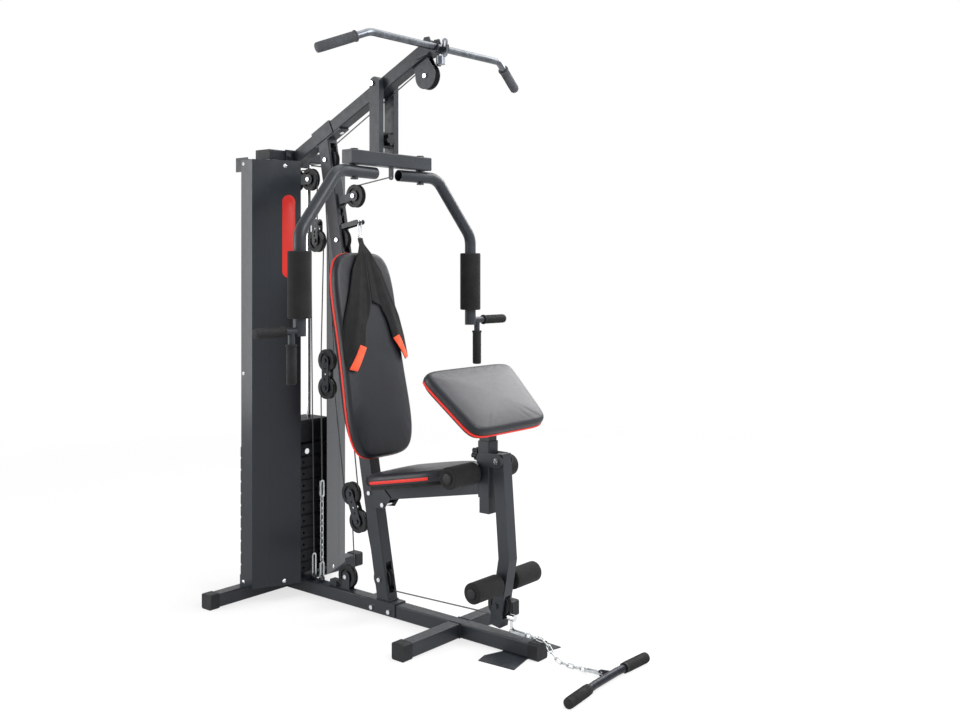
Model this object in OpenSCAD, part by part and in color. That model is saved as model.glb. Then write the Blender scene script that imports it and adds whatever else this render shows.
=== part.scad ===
// Multi station home gym: weight stack, press and butterfly arms, leg lever, curl desk,
// lat bar and rowing bar. +X is the way the user faces, +Y is the user's left, +Z is up.
// The origin lies on the floor, below the middle of the machine's bounding box.

/* [Frame tubes] */
// Side of the square frame tube
tube = 50; // [46:1:54]
// Wall of the steel tubes
wall = 2; // [1.5:0.5:3]
// Outer corner radius of the frame tubes
tube_r = 4; // [3.5:0.5:6]
// Thickness of the brackets and side plates
plate_t = 4; // [3:0.5:5]
// Diameter of the frame bolts and pulley bolts
bolt_d = 10; // [8:1:11]

/* [Base] */
// Wall of the plastic end caps, which lift the tubes off the floor
cap_wall = 3.5; // [3:0.5:5]
// Length of an end cap along its tube
cap_len = 40; // [30:1:60]
// Overall length of the rear stabilizer
rear_foot_len = 790; // [700:5:900]
// Overall length of the front stabilizer
front_foot_len = 618; // [540:5:700]
// Distance from the rear stabilizer to the front stabilizer
front_foot_x = 917; // [860:1:960]
// Distance from the rear stabilizer to the front end of the base beam
beam_end_x = 1274; // [1255:1:1280]
// Width of the rowing foot plate across the machine
foot_plate_w = 280; // [220:5:340]
// Length of the rowing foot plate at its wide ends
foot_plate_len = 140; // [110:5:150]

/* [Weight stack] */
// Distance from the rear stabilizer to the middle of the stack
stack_x = 13; // [8:1:15]
// Number of weight plates under the head weight
plate_count = 11; // [8:1:12]
// Height of one weight plate
weight_h = 47; // [40:1:50]
// Gap that the plates' rough faces leave between them
weight_gap = 0.1; // [0.1:0.1:0.5]
// Depth of a weight plate, front to back
weight_depth = 170; // [150:5:180]
// Width of a weight plate
weight_w = 360; // [330:5:380]
// Height of the head weight
head_h = 94; // [70:2:110]
// Diameter of the guide rods
rod_d = 18; // [16:1:20]
// Distance between the two guide rods
rod_gap = 200; // [180:5:220]
// Diameter of the selector stem
stem_d = 22; // [20:1:25]
// Diameter of the selector pin
pin_d = 10; // [8:0.5:11]
// Height of the rubber bumpers under the stack
bumper_h = 10; // [8:1:20]
// Sheet thickness of the shrouds
shroud_t = 1.5; // [1:0.25:2]
// Height of the top edge of the shrouds
shroud_top = 1706; // [1650:2:1712]

/* [Post and boom] */
// Depth of the leaning post
post_depth = 60; // [58:1:64]
// Backward lean of the post, in degrees
post_lean = 10.8; // [10.4:0.1:11.2]
// Where the post meets the base beam
post_x = 566; // [558:1:574]
// Height of the underside of the top crossbar
crossbar_z = 1715; // [1712:1:1725]
// Height of the top crossbar section
crossbar_h = 40; // [36:1:44]
// Depth of the top crossbar section
crossbar_depth = 87; // [84:1:90]
// Length of the top crossbar
crossbar_len = 270; // [250:5:300]
// Rise of the boom, in degrees
boom_angle = 26; // [25.6:0.1:26.4]
// Length of the boom along its middle
boom_len = 813; // [805:1:820]

/* [Pulleys and cables] */
// Diameter of the cable pulleys
pulley_d = 88; // [84:1:88]
// Width of the cable pulleys
pulley_w = 20; // [18:1:22]
// Depth of the cable groove
groove_h = 9; // [8:0.5:10]
// Diameter of the coated steel cable
cable_d = 5; // [4:0.5:6]

/* [Seat, backrest and curl desk] */
// Length of the seat cushion
seat_len = 395; // [360:5:400]
// Width of the seat cushion
seat_w = 300; // [260:5:340]
// Thickness of the cushions at their edge
pad_t = 42; // [34:1:46]
// Rise of the cushions' crown over their edge
pad_crown = 9; // [6:1:12]
// Thickness of the boards under the cushions
board_t = 12; // [9:1:15]
// Length of the backrest cushion
back_len = 772; // [720:4:780]
// Width of the backrest cushion
back_w = 330; // [300:5:350]
// Length of the curl desk cushion along its slope
desk_len = 286; // [260:2:300]
// Width of the curl desk cushion at its upper edge
desk_w = 470; // [420:5:480]
// Width of the curl desk cushion at its lower edge
desk_low_w = 392; // [340:5:420]
// Forward slope of the curl desk, in degrees
desk_slope = 41.6; // [38:0.2:45]
// Side of the curl desk's post, which slides in the socket
desk_post = 42; // [36:1:44]

/* [Press station] */
// Length of the press cross beam
press_beam_len = 422; // [400:2:440]
// Distance between the butterfly pivots
fly_gap = 348; // [330:2:360]
// Diameter of the butterfly arm tube
arm_d = 44; // [38:1:46]
// Distance between the two hanging arms
arm_span = 898; // [860:2:940]
// Diameter of the arm foam
arm_foam_d = 82; // [70:1:90]
// Length of the arm foam
arm_foam_len = 228; // [200:2:240]

/* [Leg station] */
// Diameter of the leg roller foam
roller_d = 76; // [66:1:80]
// Length of one leg roller
roller_len = 132; // [110:2:140]
// Width of the leg lever tube
lever_w = 45; // [40:1:46]

/* [Bars and chain] */
// Diameter of the bare bars
bar_d = 25; // [22:1:26]
// Diameter of the rubber hand grips
grip_d = 33; // [31:1:38]
// Length of the hand grips
grip_len = 145; // [110:5:155]
// Straight width of the lat bar between its bends
lat_straight = 684; // [600:4:720]
// Wire diameter of the chain links
link_d = 4; // [3:0.5:4.5]
// Pitch of the chain links
link_pitch = 24; // [22:0.5:26]

/* [Hidden] */
$fn = 48;
// Clearance of a running fit, on the radius
fit = 0.05;
// Clearance between fixed pieces that only pass each other
slack = 0.3;
// Overshoot of the cutting bodies
cut = 1;

// Base levels
floor_gap = cap_wall;
beam_z = floor_gap + tube / 2;
beam_top = floor_gap + tube;
cap_side = tube + 2 * cap_wall;
foot_mid_x = beam_end_x - 84;
saddle_z = beam_z - 5;
saddle_bolts = [post_x - 54, post_x + 35];

// Weight stack levels
stack_z = beam_top + bumper_h;
stack_top = stack_z + plate_count * weight_h;
head_top = stack_top + head_h;
head_depth = weight_depth - 20;
head_w = weight_w - 60;
collar_h = 14;
collar_d = 40;
stem_top = head_top + collar_h;
pin_z = stack_top - weight_h / 2;
pin_reach = weight_depth / 2 + 8;
pin_knob_d = 22;
pin_knob_len = 20;
pin_tail = stem_d / 2 + 4;
stack_rear = stack_x - weight_depth / 2;

// Crossbar, post and boom lines
crossbar_front = stack_x + crossbar_depth / 2;
crossbar_top = crossbar_z + crossbar_h;
flange_t = 6;
boom_x = crossbar_front + flange_t;
boom_z = crossbar_z + crossbar_h / 4;
post_z = beam_top + plate_t;
function post_at(s, u = 0) = [post_x - s * sin(post_lean) + u * cos(post_lean),
                              post_z + s * cos(post_lean) + u * sin(post_lean)];
function post_s(z) = (z - post_z) / cos(post_lean);
function boom_at(s, u = 0) = [boom_x + s * cos(boom_angle) - u * sin(boom_angle),
                              boom_z + s * sin(boom_angle) + u * cos(boom_angle)];
function boom_s(x) = (x - boom_x) / cos(boom_angle);
meet_s = (boom_z - post_z + (post_x - boom_x) * tan(boom_angle)) / (cos(post_lean) + sin(post_lean) * tan(boom_angle));
post_len = meet_s + 18;

// Pulley places, as [x, z] of each axle
groove_r = pulley_d / 2 - groove_h;
run_r = groove_r + cable_d / 2 + 0.4;
hub_r = 13;
cheek_t = 3;
cheek_in = pulley_w / 2 + 0.8;
cheek_r = 20;
side_w = cheek_in + cheek_t;
low_s = 76;
strap_s = 1361;
top_s = meet_s - 101.8;
low_pulley_c = post_at(low_s, -4);
strap_pulley_c = post_at(strap_s, 8);
top_pulley_c = post_at(top_s, 2);
mid_s = 1510;
mid_u = 116;
mid_pulley_c = post_at(mid_s, mid_u);
strap_eye_s = 1408;
strap_eye_u = 118;
strap_eye_r = 4;
boom_pulley_c = boom_at(boom_len - 68, -82);
base_pulley_c = [355, beam_top + pulley_d / 2 + 6];
crown_rear_c = [stack_x + run_r, crossbar_z - 76];
crown_front_c = crown_rear_c + [pulley_d + 1.2, 0];
hung_x = crown_front_c[0] + run_r;
hung_c = [hung_x, crown_front_c[1] - 245];
hung_eye = hung_c + [0, 79];
twin_gap = 107;
twin_up_c = [238, 926];
twin_low_c = twin_up_c - [0, twin_gap];
rear_up_c = [374, 424];
rear_low_c = rear_up_c + [42, -100];

// Press station
press_pivot = boom_at(boom_s(543), 12);
hanger_t = 25;
hanger_w = 50;
hanger_in = tube / 2 + 1.5;
hanger_x = press_pivot[0] + 10;
pivot_d = 12;
press_beam = 50;
press_x = hanger_x + 23;
fly_pin_d = 16;
press_beam_top = press_pivot[1] - 258.141;
press_beam_z = press_beam_top - press_beam;
arm_z = press_beam_z - arm_d / 2 - 4;
arm_toe = 4.4;
arm_reach = (arm_span - fly_gap) / 2;
arm_inner = 112;
arm_drop = 577;
arm_foam_z = arm_z - 517;
handle_y = 38;
handle_len = 193;
lug_z = arm_z - 12;
lug_x = press_x + 14;
knob_z = press_beam_top + 53;

// Seat, backrest and curl desk
seat_rise = 10.5;
rail_x = 515;
rail_z = 445;
socket_x = 1047;
socket_low = 505;
socket_top = 698;
socket_rear = socket_x - tube / 2;
function rail_at(x, u = 0) = [x - u * sin(seat_rise), rail_z + (x - rail_x) * tan(seat_rise) + u * cos(seat_rise)];
seat_x = 757;
gusset_bolts = [post_at(post_s(446), 8), [rail_x + 55, rail_z - 32]];
back_gap = 24;
back_s = post_s(950);
desk_low_z = 451;
desk_c = [1026, 816];
desk_plate_t = 5;
clamp_z = 648;

// Leg station
lever_pivot = [1108, 637];
lever_bend = [1133, 308];
lever_end = [1094, 82];
leg_pulley_c = [1099, 147];
leg_roller_c = [1117, 226];
leg_rod_d = 20;
roller_in = lever_w / 2 + 16;
knee_c = [socket_rear - bar_d / 2 + 3, 588];
stop_d = 28;

// Shroud plan, from the rear edge of a side face to the front opening
shroud_z = beam_top + 3;
shroud_pts = [[stack_x, 242], [stack_x + 66, 242], [stack_x + 94, 182], [stack_x + 146, 68]];
function facet_x(y) = stack_x + 94 + (182 - y) * 52 / 114 - 0.55 * shroud_t;

// Bars and chains
boom_tip = boom_at(boom_len);
lat_c = boom_tip + [28.8, -8.4];
lat_drop = [-60, -73];
lat_out = 176;
anchor_x = 205;
anchor2_x = 158;
link_in = link_pitch + 0.6;
link_w = 8.5;
row_z = grip_d / 2;
row_eye_x = 1507;
row_pts = [[1562, -259], [1546, -95], [1542, 35], [1550, 194]];
row_front = row_pts[0][0] + grip_d / 2;
origin_x = (stack_rear + row_front) / 2;

// Ends of the four cables
lat_stop_c = boom_pulley_c + [62, 30];
stop_lift = cable_d / 2 + 2.7;
row_stop_c = [1138, 112.5];
row_stop_d = 22;
clamp_x = base_pulley_c[0] - 70;
eye_z = beam_top + 14;
hook_t = 6;
hook_r = 11;
hook_len = 70;
long_hook_len = 95;
link_count = 11;
hook_seat = 1.6;
link_z = eye_z + hook_len - 1.5 * hook_t - hook_seat + link_in / 2;
chain_top_z = link_z + (link_count - 1) * link_pitch + link_in / 2 - hook_seat - hook_t + hook_len;
anchor2_top_z = eye_z - hook_t / 2 + long_hook_len;

// Small geometry helpers
function unit(v) = v / norm(v);
function flip(v) = [for (i = [len(v) - 1 : -1 : 0]) v[i]];
function arc(c, r, a, b, n = 10) = [for (i = [0 : n]) let (t = a + (b - a) * i / n) c + r * [cos(t), sin(t)]];
function stadium(p, q, r) = let (a = atan2(q[1] - p[1], q[0] - p[0]))
    concat(arc(p, r, a + 90, a + 270), arc(q, r, a - 90, a + 90));
// Offset of a polyline by h to its left, with mitred corners
function side_line(p, h) = [for (i = [0 : len(p) - 1])
    let (a = unit(p[min(i + 1, len(p) - 1)] - p[min(i, len(p) - 2)]),
         b = unit(p[max(i, 1)] - p[max(i - 1, 0)]),
         m = unit(a + b))
    p[i] + h / (m * a) * [-m[1], m[0]]];
function ribbon(p, h) = concat(side_line(p, h), flip(side_line(p, -h)));

// A flat shape drawn in x and z, from y = lo to y = hi
module slab(lo, hi) { translate([0, hi, 0]) rotate([90, 0, 0]) linear_extrude(hi - lo) children(); }
// The same slab on both sides of the machine's middle plane
module both_slabs(lo, hi) { for (s = [0, 1]) mirror([0, s, 0]) slab(lo, hi) children(); }
module at(c) { translate([c[0], 0, c[1]]) children(); }
module along_y(r, lo, hi) { translate([0, lo, 0]) rotate([-90, 0, 0]) cylinder(r = r, h = hi - lo); }
module along_x(r, lo, hi) { translate([lo, 0, 0]) rotate([0, 90, 0]) cylinder(r = r, h = hi - lo); }
module round_rect(w, h, r) {
    square([w - 2 * r, h], center = true);
    square([w, h - 2 * r], center = true);
    for (x = [-1, 1], y = [-1, 1]) translate([x * (w / 2 - r), y * (h / 2 - r)]) circle(r);
}
module tube_profile(w, h, t = wall) {
    difference() {
        round_rect(w, h, tube_r);
        round_rect(w - 2 * t, h - 2 * t, tube_r - t / 2);
    }
}
module tube_x(len, w, h) { rotate([90, 0, 90]) linear_extrude(len) tube_profile(w, h); }
module tube_y(len, w, h) { translate([0, -len / 2, 0]) rotate([-90, 0, 0]) linear_extrude(len) tube_profile(w, h); }
module in_post() { translate([post_x, 0, post_z]) rotate([0, -post_lean, 0]) children(); }
module in_boom() { translate([boom_x, 0, boom_z]) rotate([0, -boom_angle, 0]) children(); }

// A bolt along y with a hex head at its low end and a nut at its high end
module bolt(lo, hi, d = bolt_d) {
    along_y(d / 2, lo - 0.6 * d, hi + 0.7 * d);
    translate([0, lo, 0]) rotate([90, 0, 0]) cylinder(d = 1.75 * d, h = 0.6 * d, $fn = 6);
    translate([0, hi + 0.5 * d, 0]) rotate([90, 0, 0]) cylinder(d = 1.75 * d, h = 0.5 * d, $fn = 6);
}
// A pulley bolt between two walls, with spacers up to the pulley's hub
module pulley_bolt(lo, hi, inner) {
    bolt(lo, hi);
    for (s = [0, 1]) mirror([0, s, 0]) along_y(hub_r - 3, pulley_w / 2 + slack, inner);
}
module hole_y(r, lo, hi) { along_y(r, lo - cut, hi + cut); }

// A rod along a bent line in the x-y plane; its elbows stand proud by elbow_lip and lap its straights
elbow_lip = 0.2;
elbow_lap = 3;
function bend_angle(p, i) = let (a = p[i] - p[i - 1], b = p[i + 1] - p[i])
    atan2(a[0] * b[1] - a[1] * b[0], a * b);
function bend_take(p, i, bend) = i == 0 || i == len(p) - 1 ? 0 : bend * tan(abs(bend_angle(p, i)) / 2) - elbow_lap;
module bent_rod(p, r, bend, start = 0, end = 0) {
    last = len(p) - 1;
    for (i = [0 : last - 1]) {
        d = unit(p[i + 1] - p[i]);
        a = p[i] + d * (bend_take(p, i, bend) + (i == 0 ? start : 0));
        b = p[i + 1] - d * (bend_take(p, i + 1, bend) + (i == last - 1 ? end : 0));
        translate(a) rotate([0, 0, atan2(d[1], d[0])]) rotate([0, 90, 0]) cylinder(r = r, h = norm(b - a));
    }
    for (i = [1 : last - 1]) {
        w = bend_angle(p, i);
        d = unit(p[i] - p[i - 1]);
        n = sign(w) * [-d[1], d[0]];
        c = p[i] - d * (bend_take(p, i, bend) + elbow_lap) + n * bend;
        translate(c) rotate([0, 0, atan2(-n[1], -n[0]) + min(w, 0)]) rotate_extrude(angle = abs(w))
            translate([bend, 0]) circle(r + elbow_lip);
    }
}
module grip_on(p, q, len, inner) {
    d = unit(q - p);
    translate(q - d * len) rotate([0, 0, atan2(d[1], d[0])]) rotate([0, 90, 0]) difference() {
        cylinder(d = grip_d, h = len + 4);
        translate([0, 0, -cut]) cylinder(d = inner + 2 * fit, h = len + slack + cut);
    }
}

// Cable routes: each stop is [place, radius, turn], turn 1 for counterclockwise in x-z
function leg_angle(a, b) = let (v = b[0] - a[0])
    atan2(v[1], v[0]) + asin((a[2] * a[1] - b[2] * b[1]) / norm(v));
function wrap(d, turn) = turn > 0 ? d - 360 * floor(d / 360) : d - 360 * ceil(d / 360);
function stop_arc(r, i) = let (s = r[i], a = leg_angle(r[i - 1], s), d = wrap(leg_angle(s, r[i + 1]) - a, s[2]),
    n = max(2, ceil(abs(d) / 15)))
    [for (k = [0 : n]) let (t = a + d * k / n - 90 * s[2]) s[0] + s[1] * [cos(t), sin(t)]];
function route(r) = concat([r[0][0]], [for (i = [1 : len(r) - 2]) each stop_arc(r, i)], [r[len(r) - 1][0]]);
function ring(p, i, r, n) = let (d = unit(p[min(i + 1, len(p) - 1)] - p[max(i - 1, 0)]), m = [-d[1], d[0]])
    [for (k = [0 : n - 1]) let (a = 360 * k / n, q = p[i] + r * cos(a) * m) [q[0], r * sin(a), q[1]]];
module cable(r) {
    p = route(r);
    n = 8;
    last = len(p) - 1;
    polyhedron([for (i = [0 : last]) each ring(p, i, cable_d / 2, n)],
        concat([[for (k = [0 : n - 1]) n - 1 - k]], [[for (k = [0 : n - 1]) last * n + k]],
            [for (i = [0 : last - 1], k = [0 : n - 1]) each
                let (a = i * n + k, b = i * n + (k + 1) % n) [[a, b, b + n], [a, b + n, a + n]]]));
}

// Cushions: an outline in x-y, grown through rings of [scale, height]
function pad_outline(len, low_w, high_w, n, waist = 0, count = 56) = [for (i = [0 : count - 1])
    let (a = 360 * i / count, c = cos(a), s = sin(a), x = len / 2 * sign(c) * pow(abs(c), 2 / n),
         t = x / len + 0.5, w = low_w / 2 + (high_w - low_w) / 2 * t - waist * pow(sin(180 * t), 2))
    [x, w * sign(s) * pow(abs(s), 2 / n)]];
function pad_rings(t, crown, board = 0) = concat(board > 0 ? [[0.93, -board], [0.935, 0]] : [],
    [[0.95, board > 0 ? 0.4 : 0], [0.985, 0.12 * t], [1, 0.35 * t], [0.998, 0.6 * t], [0.985, 0.82 * t],
    [0.95, 0.96 * t], [0.86, t + 0.3 * crown], [0.68, t + 0.66 * crown], [0.45, t + 0.88 * crown],
    [0.2, t + 0.98 * crown]]);
module cushion(outline, t, crown, board = 0) {
    rings = pad_rings(t, crown, board);
    n = len(outline);
    last = len(rings) - 1;
    polyhedron(concat([for (g = rings) each [for (p = outline) [p[0] * g[0], p[1] * g[0], g[1]]]],
            [[0, 0, -board], [0, 0, t + crown]]),
        concat([for (i = [0 : last - 1], k = [0 : n - 1]) each
                let (a = i * n + k, b = i * n + (k + 1) % n) [[a, b + n, b], [a, a + n, b + n]]],
            [for (k = [0 : n - 1]) [k, (k + 1) % n, (last + 1) * n]],
            [for (k = [0 : n - 1]) [last * n + (k + 1) % n, last * n + k, (last + 1) * n + 1]]));
}

// Chain links and snap hooks
module link() {
    r = (link_w + link_d) / 2;
    h = link_in / 2 - link_w / 2;
    for (s = [0, 1]) mirror([s, 0, 0]) {
        translate([h, 0, 0]) rotate([0, 0, -90]) rotate_extrude(angle = 180) translate([r, 0]) circle(d = link_d, $fn = 16);
    }
    for (s = [-1, 1]) translate([0, s * r, 0]) rotate([0, 90, 0]) cylinder(d = link_d, h = 2 * h, center = true, $fn = 16);
}
module snap_hook(len, t) {
    translate([0, 0, -t / 2]) linear_extrude(t) difference() {
        polygon(stadium([-len / 2 + hook_r, 0], [len / 2 - hook_r, 0], hook_r));
        polygon(stadium([-len / 2 + hook_r, 0], [len / 2 - hook_r, 0], hook_r - t));
    }
}

// Fixed frame
module main_beam() {
    color("dimgray") difference() {
        translate([tube / 2, 0, beam_z]) tube_x(beam_end_x - tube / 2, tube, tube);
        for (x = saddle_bolts) at([x, saddle_z]) hole_y(bolt_d / 2 + slack, -tube / 2, tube / 2);
    }
}
module stabilizers() {
    arm = front_foot_len / 2 - cap_wall - tube / 2;
    color("dimgray") {
        translate([0, 0, beam_z]) tube_y(rear_foot_len - 2 * cap_wall, tube, tube);
        for (s = [-1, 1]) translate([front_foot_x, s * (tube / 2 + arm / 2), beam_z]) tube_y(arm, tube, tube);
    }
}
// An end cap whose outer face lies at x = 0, open towards -x
module end_cap() {
    translate([-cap_len, 0, 0]) rotate([90, 0, 90]) difference() {
        linear_extrude(cap_len) round_rect(cap_side, cap_side, tube_r + cap_wall);
        translate([0, 0, -cut]) linear_extrude(cap_len - cap_wall + cut)
            round_rect(tube + slack, tube + slack, tube_r);
    }
}
module bumpers() {
    for (s = [-1, 1]) translate([stack_x, s * rod_gap / 2, beam_top]) difference() {
        cylinder(d = 48, h = bumper_h);
        translate([0, 0, -cut]) cylinder(d = rod_d + 2 * slack, h = bumper_h + 2 * cut);
    }
    translate([stack_x + 50, 0, beam_top]) cylinder(d = 36, h = bumper_h);
}
module end_caps() {
    color("black") {
        bumpers();
        translate([beam_end_x + cap_wall, 0, beam_z]) end_cap();
        for (s = [-1, 1]) {
            translate([0, s * rear_foot_len / 2, beam_z]) rotate([0, 0, 90 * s]) end_cap();
            translate([front_foot_x, s * front_foot_len / 2, beam_z]) rotate([0, 0, 90 * s]) end_cap();
            translate([stack_x, s * (crossbar_len / 2 + 1.5), crossbar_z + crossbar_h / 2]) rotate([90, 0, 0])
                linear_extrude(3, center = true) round_rect(crossbar_depth, crossbar_h, tube_r);
        }
        in_boom() translate([boom_len, 0, 0]) rotate([90, 0, 90]) linear_extrude(3) round_rect(tube, tube, tube_r);
    }
}
module post_slot(lo, hi, from_u, to_u, w) { translate([from_u, -w / 2, lo]) cube([to_u - from_u, w, hi - lo]); }
module main_post() {
    slot_w = pulley_w + 8;
    edge = post_depth / 2 + cut;
    color("dimgray") difference() {
        in_post() translate([0, 0, -30]) linear_extrude(post_len) tube_profile(post_depth, tube);
        translate([post_x - 100, -tube, post_z - 100]) cube([200, 2 * tube, 100]);
        in_boom() translate([0, -tube, -tube / 2 - flange_t]) cube([boom_len, 2 * tube, 300]);
        in_post() {
            post_slot(low_s - 52, low_s + 60, -edge, edge, slot_w);
            post_slot(strap_s - 60, strap_s + 62, -edge, edge, slot_w);
            post_slot(strap_s - 215, strap_s, -edge, 0, slot_w);
            post_slot(strap_s, strap_s + 118, 0, edge, cable_d + 8);
            post_slot(top_s - 56, top_s + 62, -edge, edge, slot_w);
        }
        for (c = [low_pulley_c, strap_pulley_c, top_pulley_c, gusset_bolts[0]]) at(c)
            hole_y(bolt_d / 2 + slack, -tube / 2, tube / 2);
    }
}
module boom() {
    color("dimgray") difference() {
        in_boom() translate([-60, 0, 0]) tube_x(boom_len + 60, tube, tube);
        translate([boom_x - 100, -tube, boom_z - 100]) cube([100, 2 * tube, 200]);
        at(press_pivot) hole_y(pivot_d / 2 + slack, -tube / 2, tube / 2);
    }
}
module top_crossbar() {
    color("dimgray") difference() {
        translate([stack_x, 0, crossbar_z + crossbar_h / 2]) tube_y(crossbar_len, crossbar_depth, crossbar_h);
        for (s = [-1, 1]) translate([stack_x, s * rod_gap / 2, crossbar_z - cut]) cylinder(d = rod_d + 2 * slack, h = wall + 2 * cut);
    }
}
module guide_rods() {
    color("silver") for (s = [-1, 1]) translate([stack_x, s * rod_gap / 2, beam_top])
        cylinder(d = rod_d, h = crossbar_top - wall - beam_top);
}

// Weight stack
function weight_profile(d, h, c) = [[-d / 2 + c, 0], [d / 2 - c, 0], [d / 2, c], [d / 2, h - c], [d / 2 - c, h],
    [-d / 2 + c, h], [-d / 2, h - c], [-d / 2, c]];
module weight(d, w, h, chamfer) { slab(-w / 2, w / 2) polygon(weight_profile(d, h, chamfer)); }
module rod_holes(r, h) {
    for (s = [-1, 1]) translate([0, s * rod_gap / 2, -cut]) cylinder(r = r, h = h + 2 * cut);
}
module resting_plates() {
    h = (plate_count - 1) * weight_h;
    color("gray") translate([stack_x, 0, stack_z]) difference() {
        for (i = [0 : plate_count - 2]) translate([0, 0, i * weight_h]) weight(weight_depth, weight_w, weight_h - weight_gap, 5);
        rod_holes(rod_d / 2 + 1, h);
        translate([0, 0, -cut]) cylinder(d = stem_d + 4, h = h + 2 * cut);
        for (i = [0 : plate_count - 2]) translate([0, 0, (i + 0.5) * weight_h])
            along_x(pin_d / 2 + slack, -pin_tail - 2, weight_depth / 2 + cut);
    }
}
module lifted_weights() {
    color("gray") translate([stack_x, 0, stack_top]) difference() {
        union() {
            translate([0, 0, -weight_h]) weight(weight_depth, weight_w, weight_h - weight_gap, 5);
            weight(head_depth, head_w, head_h, 10);
        }
        translate([0, 0, -weight_h]) rod_holes(rod_d / 2 + fit, weight_h + head_h);
        translate([0, 0, -weight_h - cut]) cylinder(d = stem_d + 2 * slack, h = weight_h + head_h + 2 * cut);
        translate([0, 0, -weight_h / 2]) along_x(pin_d / 2 + fit, -pin_tail - 2, weight_depth / 2 + cut);
    }
}
module selector_stem() {
    color("silver") translate([stack_x, 0, 0]) difference() {
        union() {
            translate([0, 0, stack_z + 4]) cylinder(d = stem_d, h = head_top - stack_z);
            translate([0, 0, head_top]) cylinder(d = collar_d, h = collar_h);
        }
        for (i = [0 : plate_count - 1]) translate([0, 0, stack_z + (i + 0.5) * weight_h])
            along_x(pin_d / 2 + fit, -stem_d, stem_d);
    }
}
module selector_pin() {
    color("red") translate([stack_x, 0, pin_z]) {
        along_x(pin_d / 2, -pin_tail, pin_reach);
        along_x(pin_knob_d / 2, weight_depth / 2 + 0.6, weight_depth / 2 + pin_knob_len);
    }
}
module shroud_left() {
    color("slategray") translate([0, 0, shroud_z]) linear_extrude(shroud_top - shroud_z) polygon(ribbon(shroud_pts, shroud_t / 2));
}
module shroud_right() { mirror([0, 1, 0]) shroud_left(); }

// Brackets
function hook_shape() = concat([boom_tip + [-55.2, -45.4], boom_tip + [-3.2, -31.4]], arc(lat_c, 22, 215, 360), [[lat_c[0] + 22, lat_c[1] + 14],
    [lat_c[0] + bar_d / 2 + slack, lat_c[1] + 14]], arc(lat_c, bar_d / 2 + slack, 0, -180),
    [[lat_c[0] - bar_d / 2 - slack, lat_c[1] + 17], boom_tip + [6.8, 30.6], boom_tip + [-17.2, 30.6],
    boom_tip + [-31.2, -1.4], boom_tip + [-55.2, -17.4]]);
module shroud_brackets() {
    side = shroud_pts[0][1] - shroud_t / 2;
    for (s = [0, 1]) mirror([0, s, 0]) {
        translate([stack_x - 35, 0, crossbar_z - plate_t]) cube([20, side, plate_t]);
        translate([stack_x - 35, side - plate_t, crossbar_z - 55]) cube([70, plate_t, 55]);
        translate([stack_x - 10, side - 14, beam_top]) cube([18, 14, plate_t]);
        translate([stack_x - 10, side - plate_t, beam_top]) cube([30, plate_t, 45]);
        translate([0, 0, beam_top]) linear_extrude(plate_t)
            polygon([[stack_x + 90, 0], [stack_x + 90, 150], [facet_x(150), 150], [facet_x(100), 100], [facet_x(100), 0]]);
    }
}
module foot_plate() {
    w = foot_plate_w / 2;
    cap_x = beam_end_x + cap_wall - cap_len - 1 - foot_mid_x;
    translate([foot_mid_x, 0, 0]) linear_extrude(floor_gap)
        polygon([[-foot_plate_len / 2, w], [foot_plate_len / 2, w - 10], [cap_x, cap_side / 2 + 2],
            [cap_x, -cap_side / 2 - 2], [foot_plate_len / 2, 10 - w], [-foot_plate_len / 2, -w],
            [-foot_plate_len / 2 - 12, -w + 45], [-foot_plate_len / 2 + 10, -30], [-foot_plate_len / 2 + 10, 30],
            [-foot_plate_len / 2 - 12, w - 45]]);
}
module beam_eye(x) {
    slab(-3, 3) difference() {
        union() {
            translate([x - 14, beam_top]) square([28, 14]);
            translate([x, eye_z]) circle(14);
        }
        translate([x, eye_z]) circle(7);
    }
}
module frame_brackets() {
    side = tube / 2;
    color("dimgray") {
        difference() {
            translate([post_x - 85, -side - plate_t, saddle_z - 14]) cube([150, tube + 2 * plate_t, post_z - saddle_z + 14]);
            translate([post_x - 85 - cut, -side, 0]) cube([150 + 2 * cut, tube, beam_top]);
            for (x = saddle_bolts) at([x, saddle_z]) hole_y(bolt_d / 2 + slack, -side - plate_t, side + plate_t);
        }
        in_boom() {
            translate([boom_s(186), -side, -side - flange_t]) cube([150, tube, flange_t]);
            difference() {
                translate([boom_s(188), -side - plate_t, -side]) cube([110, tube + 2 * plate_t, tube + plate_t]);
                translate([boom_s(188) - cut, -side, -side - cut]) cube([110 + 2 * cut, tube, tube + cut]);
            }
        }
        translate([crossbar_front, -62, crossbar_z - 24]) cube([flange_t, 124, crossbar_h + 27]);
        both_slabs(side, side + plate_t) polygon(hook_shape());
        shroud_brackets();
        foot_plate();
        beam_eye(anchor_x);
        beam_eye(anchor2_x);
        translate([clamp_x - 18, -14, beam_top]) cube([36, 28, 26]);
        both_slabs(side, side + plate_t) difference() {
            polygon([post_at(post_s(500), 0), post_at(post_s(500), post_depth / 2), rail_at(rail_x + 60, 18),
                rail_at(rail_x + 90, -18), [rail_x + 62, rail_z - 45], post_at(post_s(390), post_depth / 2), post_at(post_s(390), 0)]);
            for (c = gusset_bolts) translate(c) circle(bolt_d / 2 + slack);
        }
        in_post() for (s = [-220, 220]) translate([post_depth / 2, -22, back_s + s - 30]) cube([back_gap, 44, 60]);
    }
}

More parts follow.
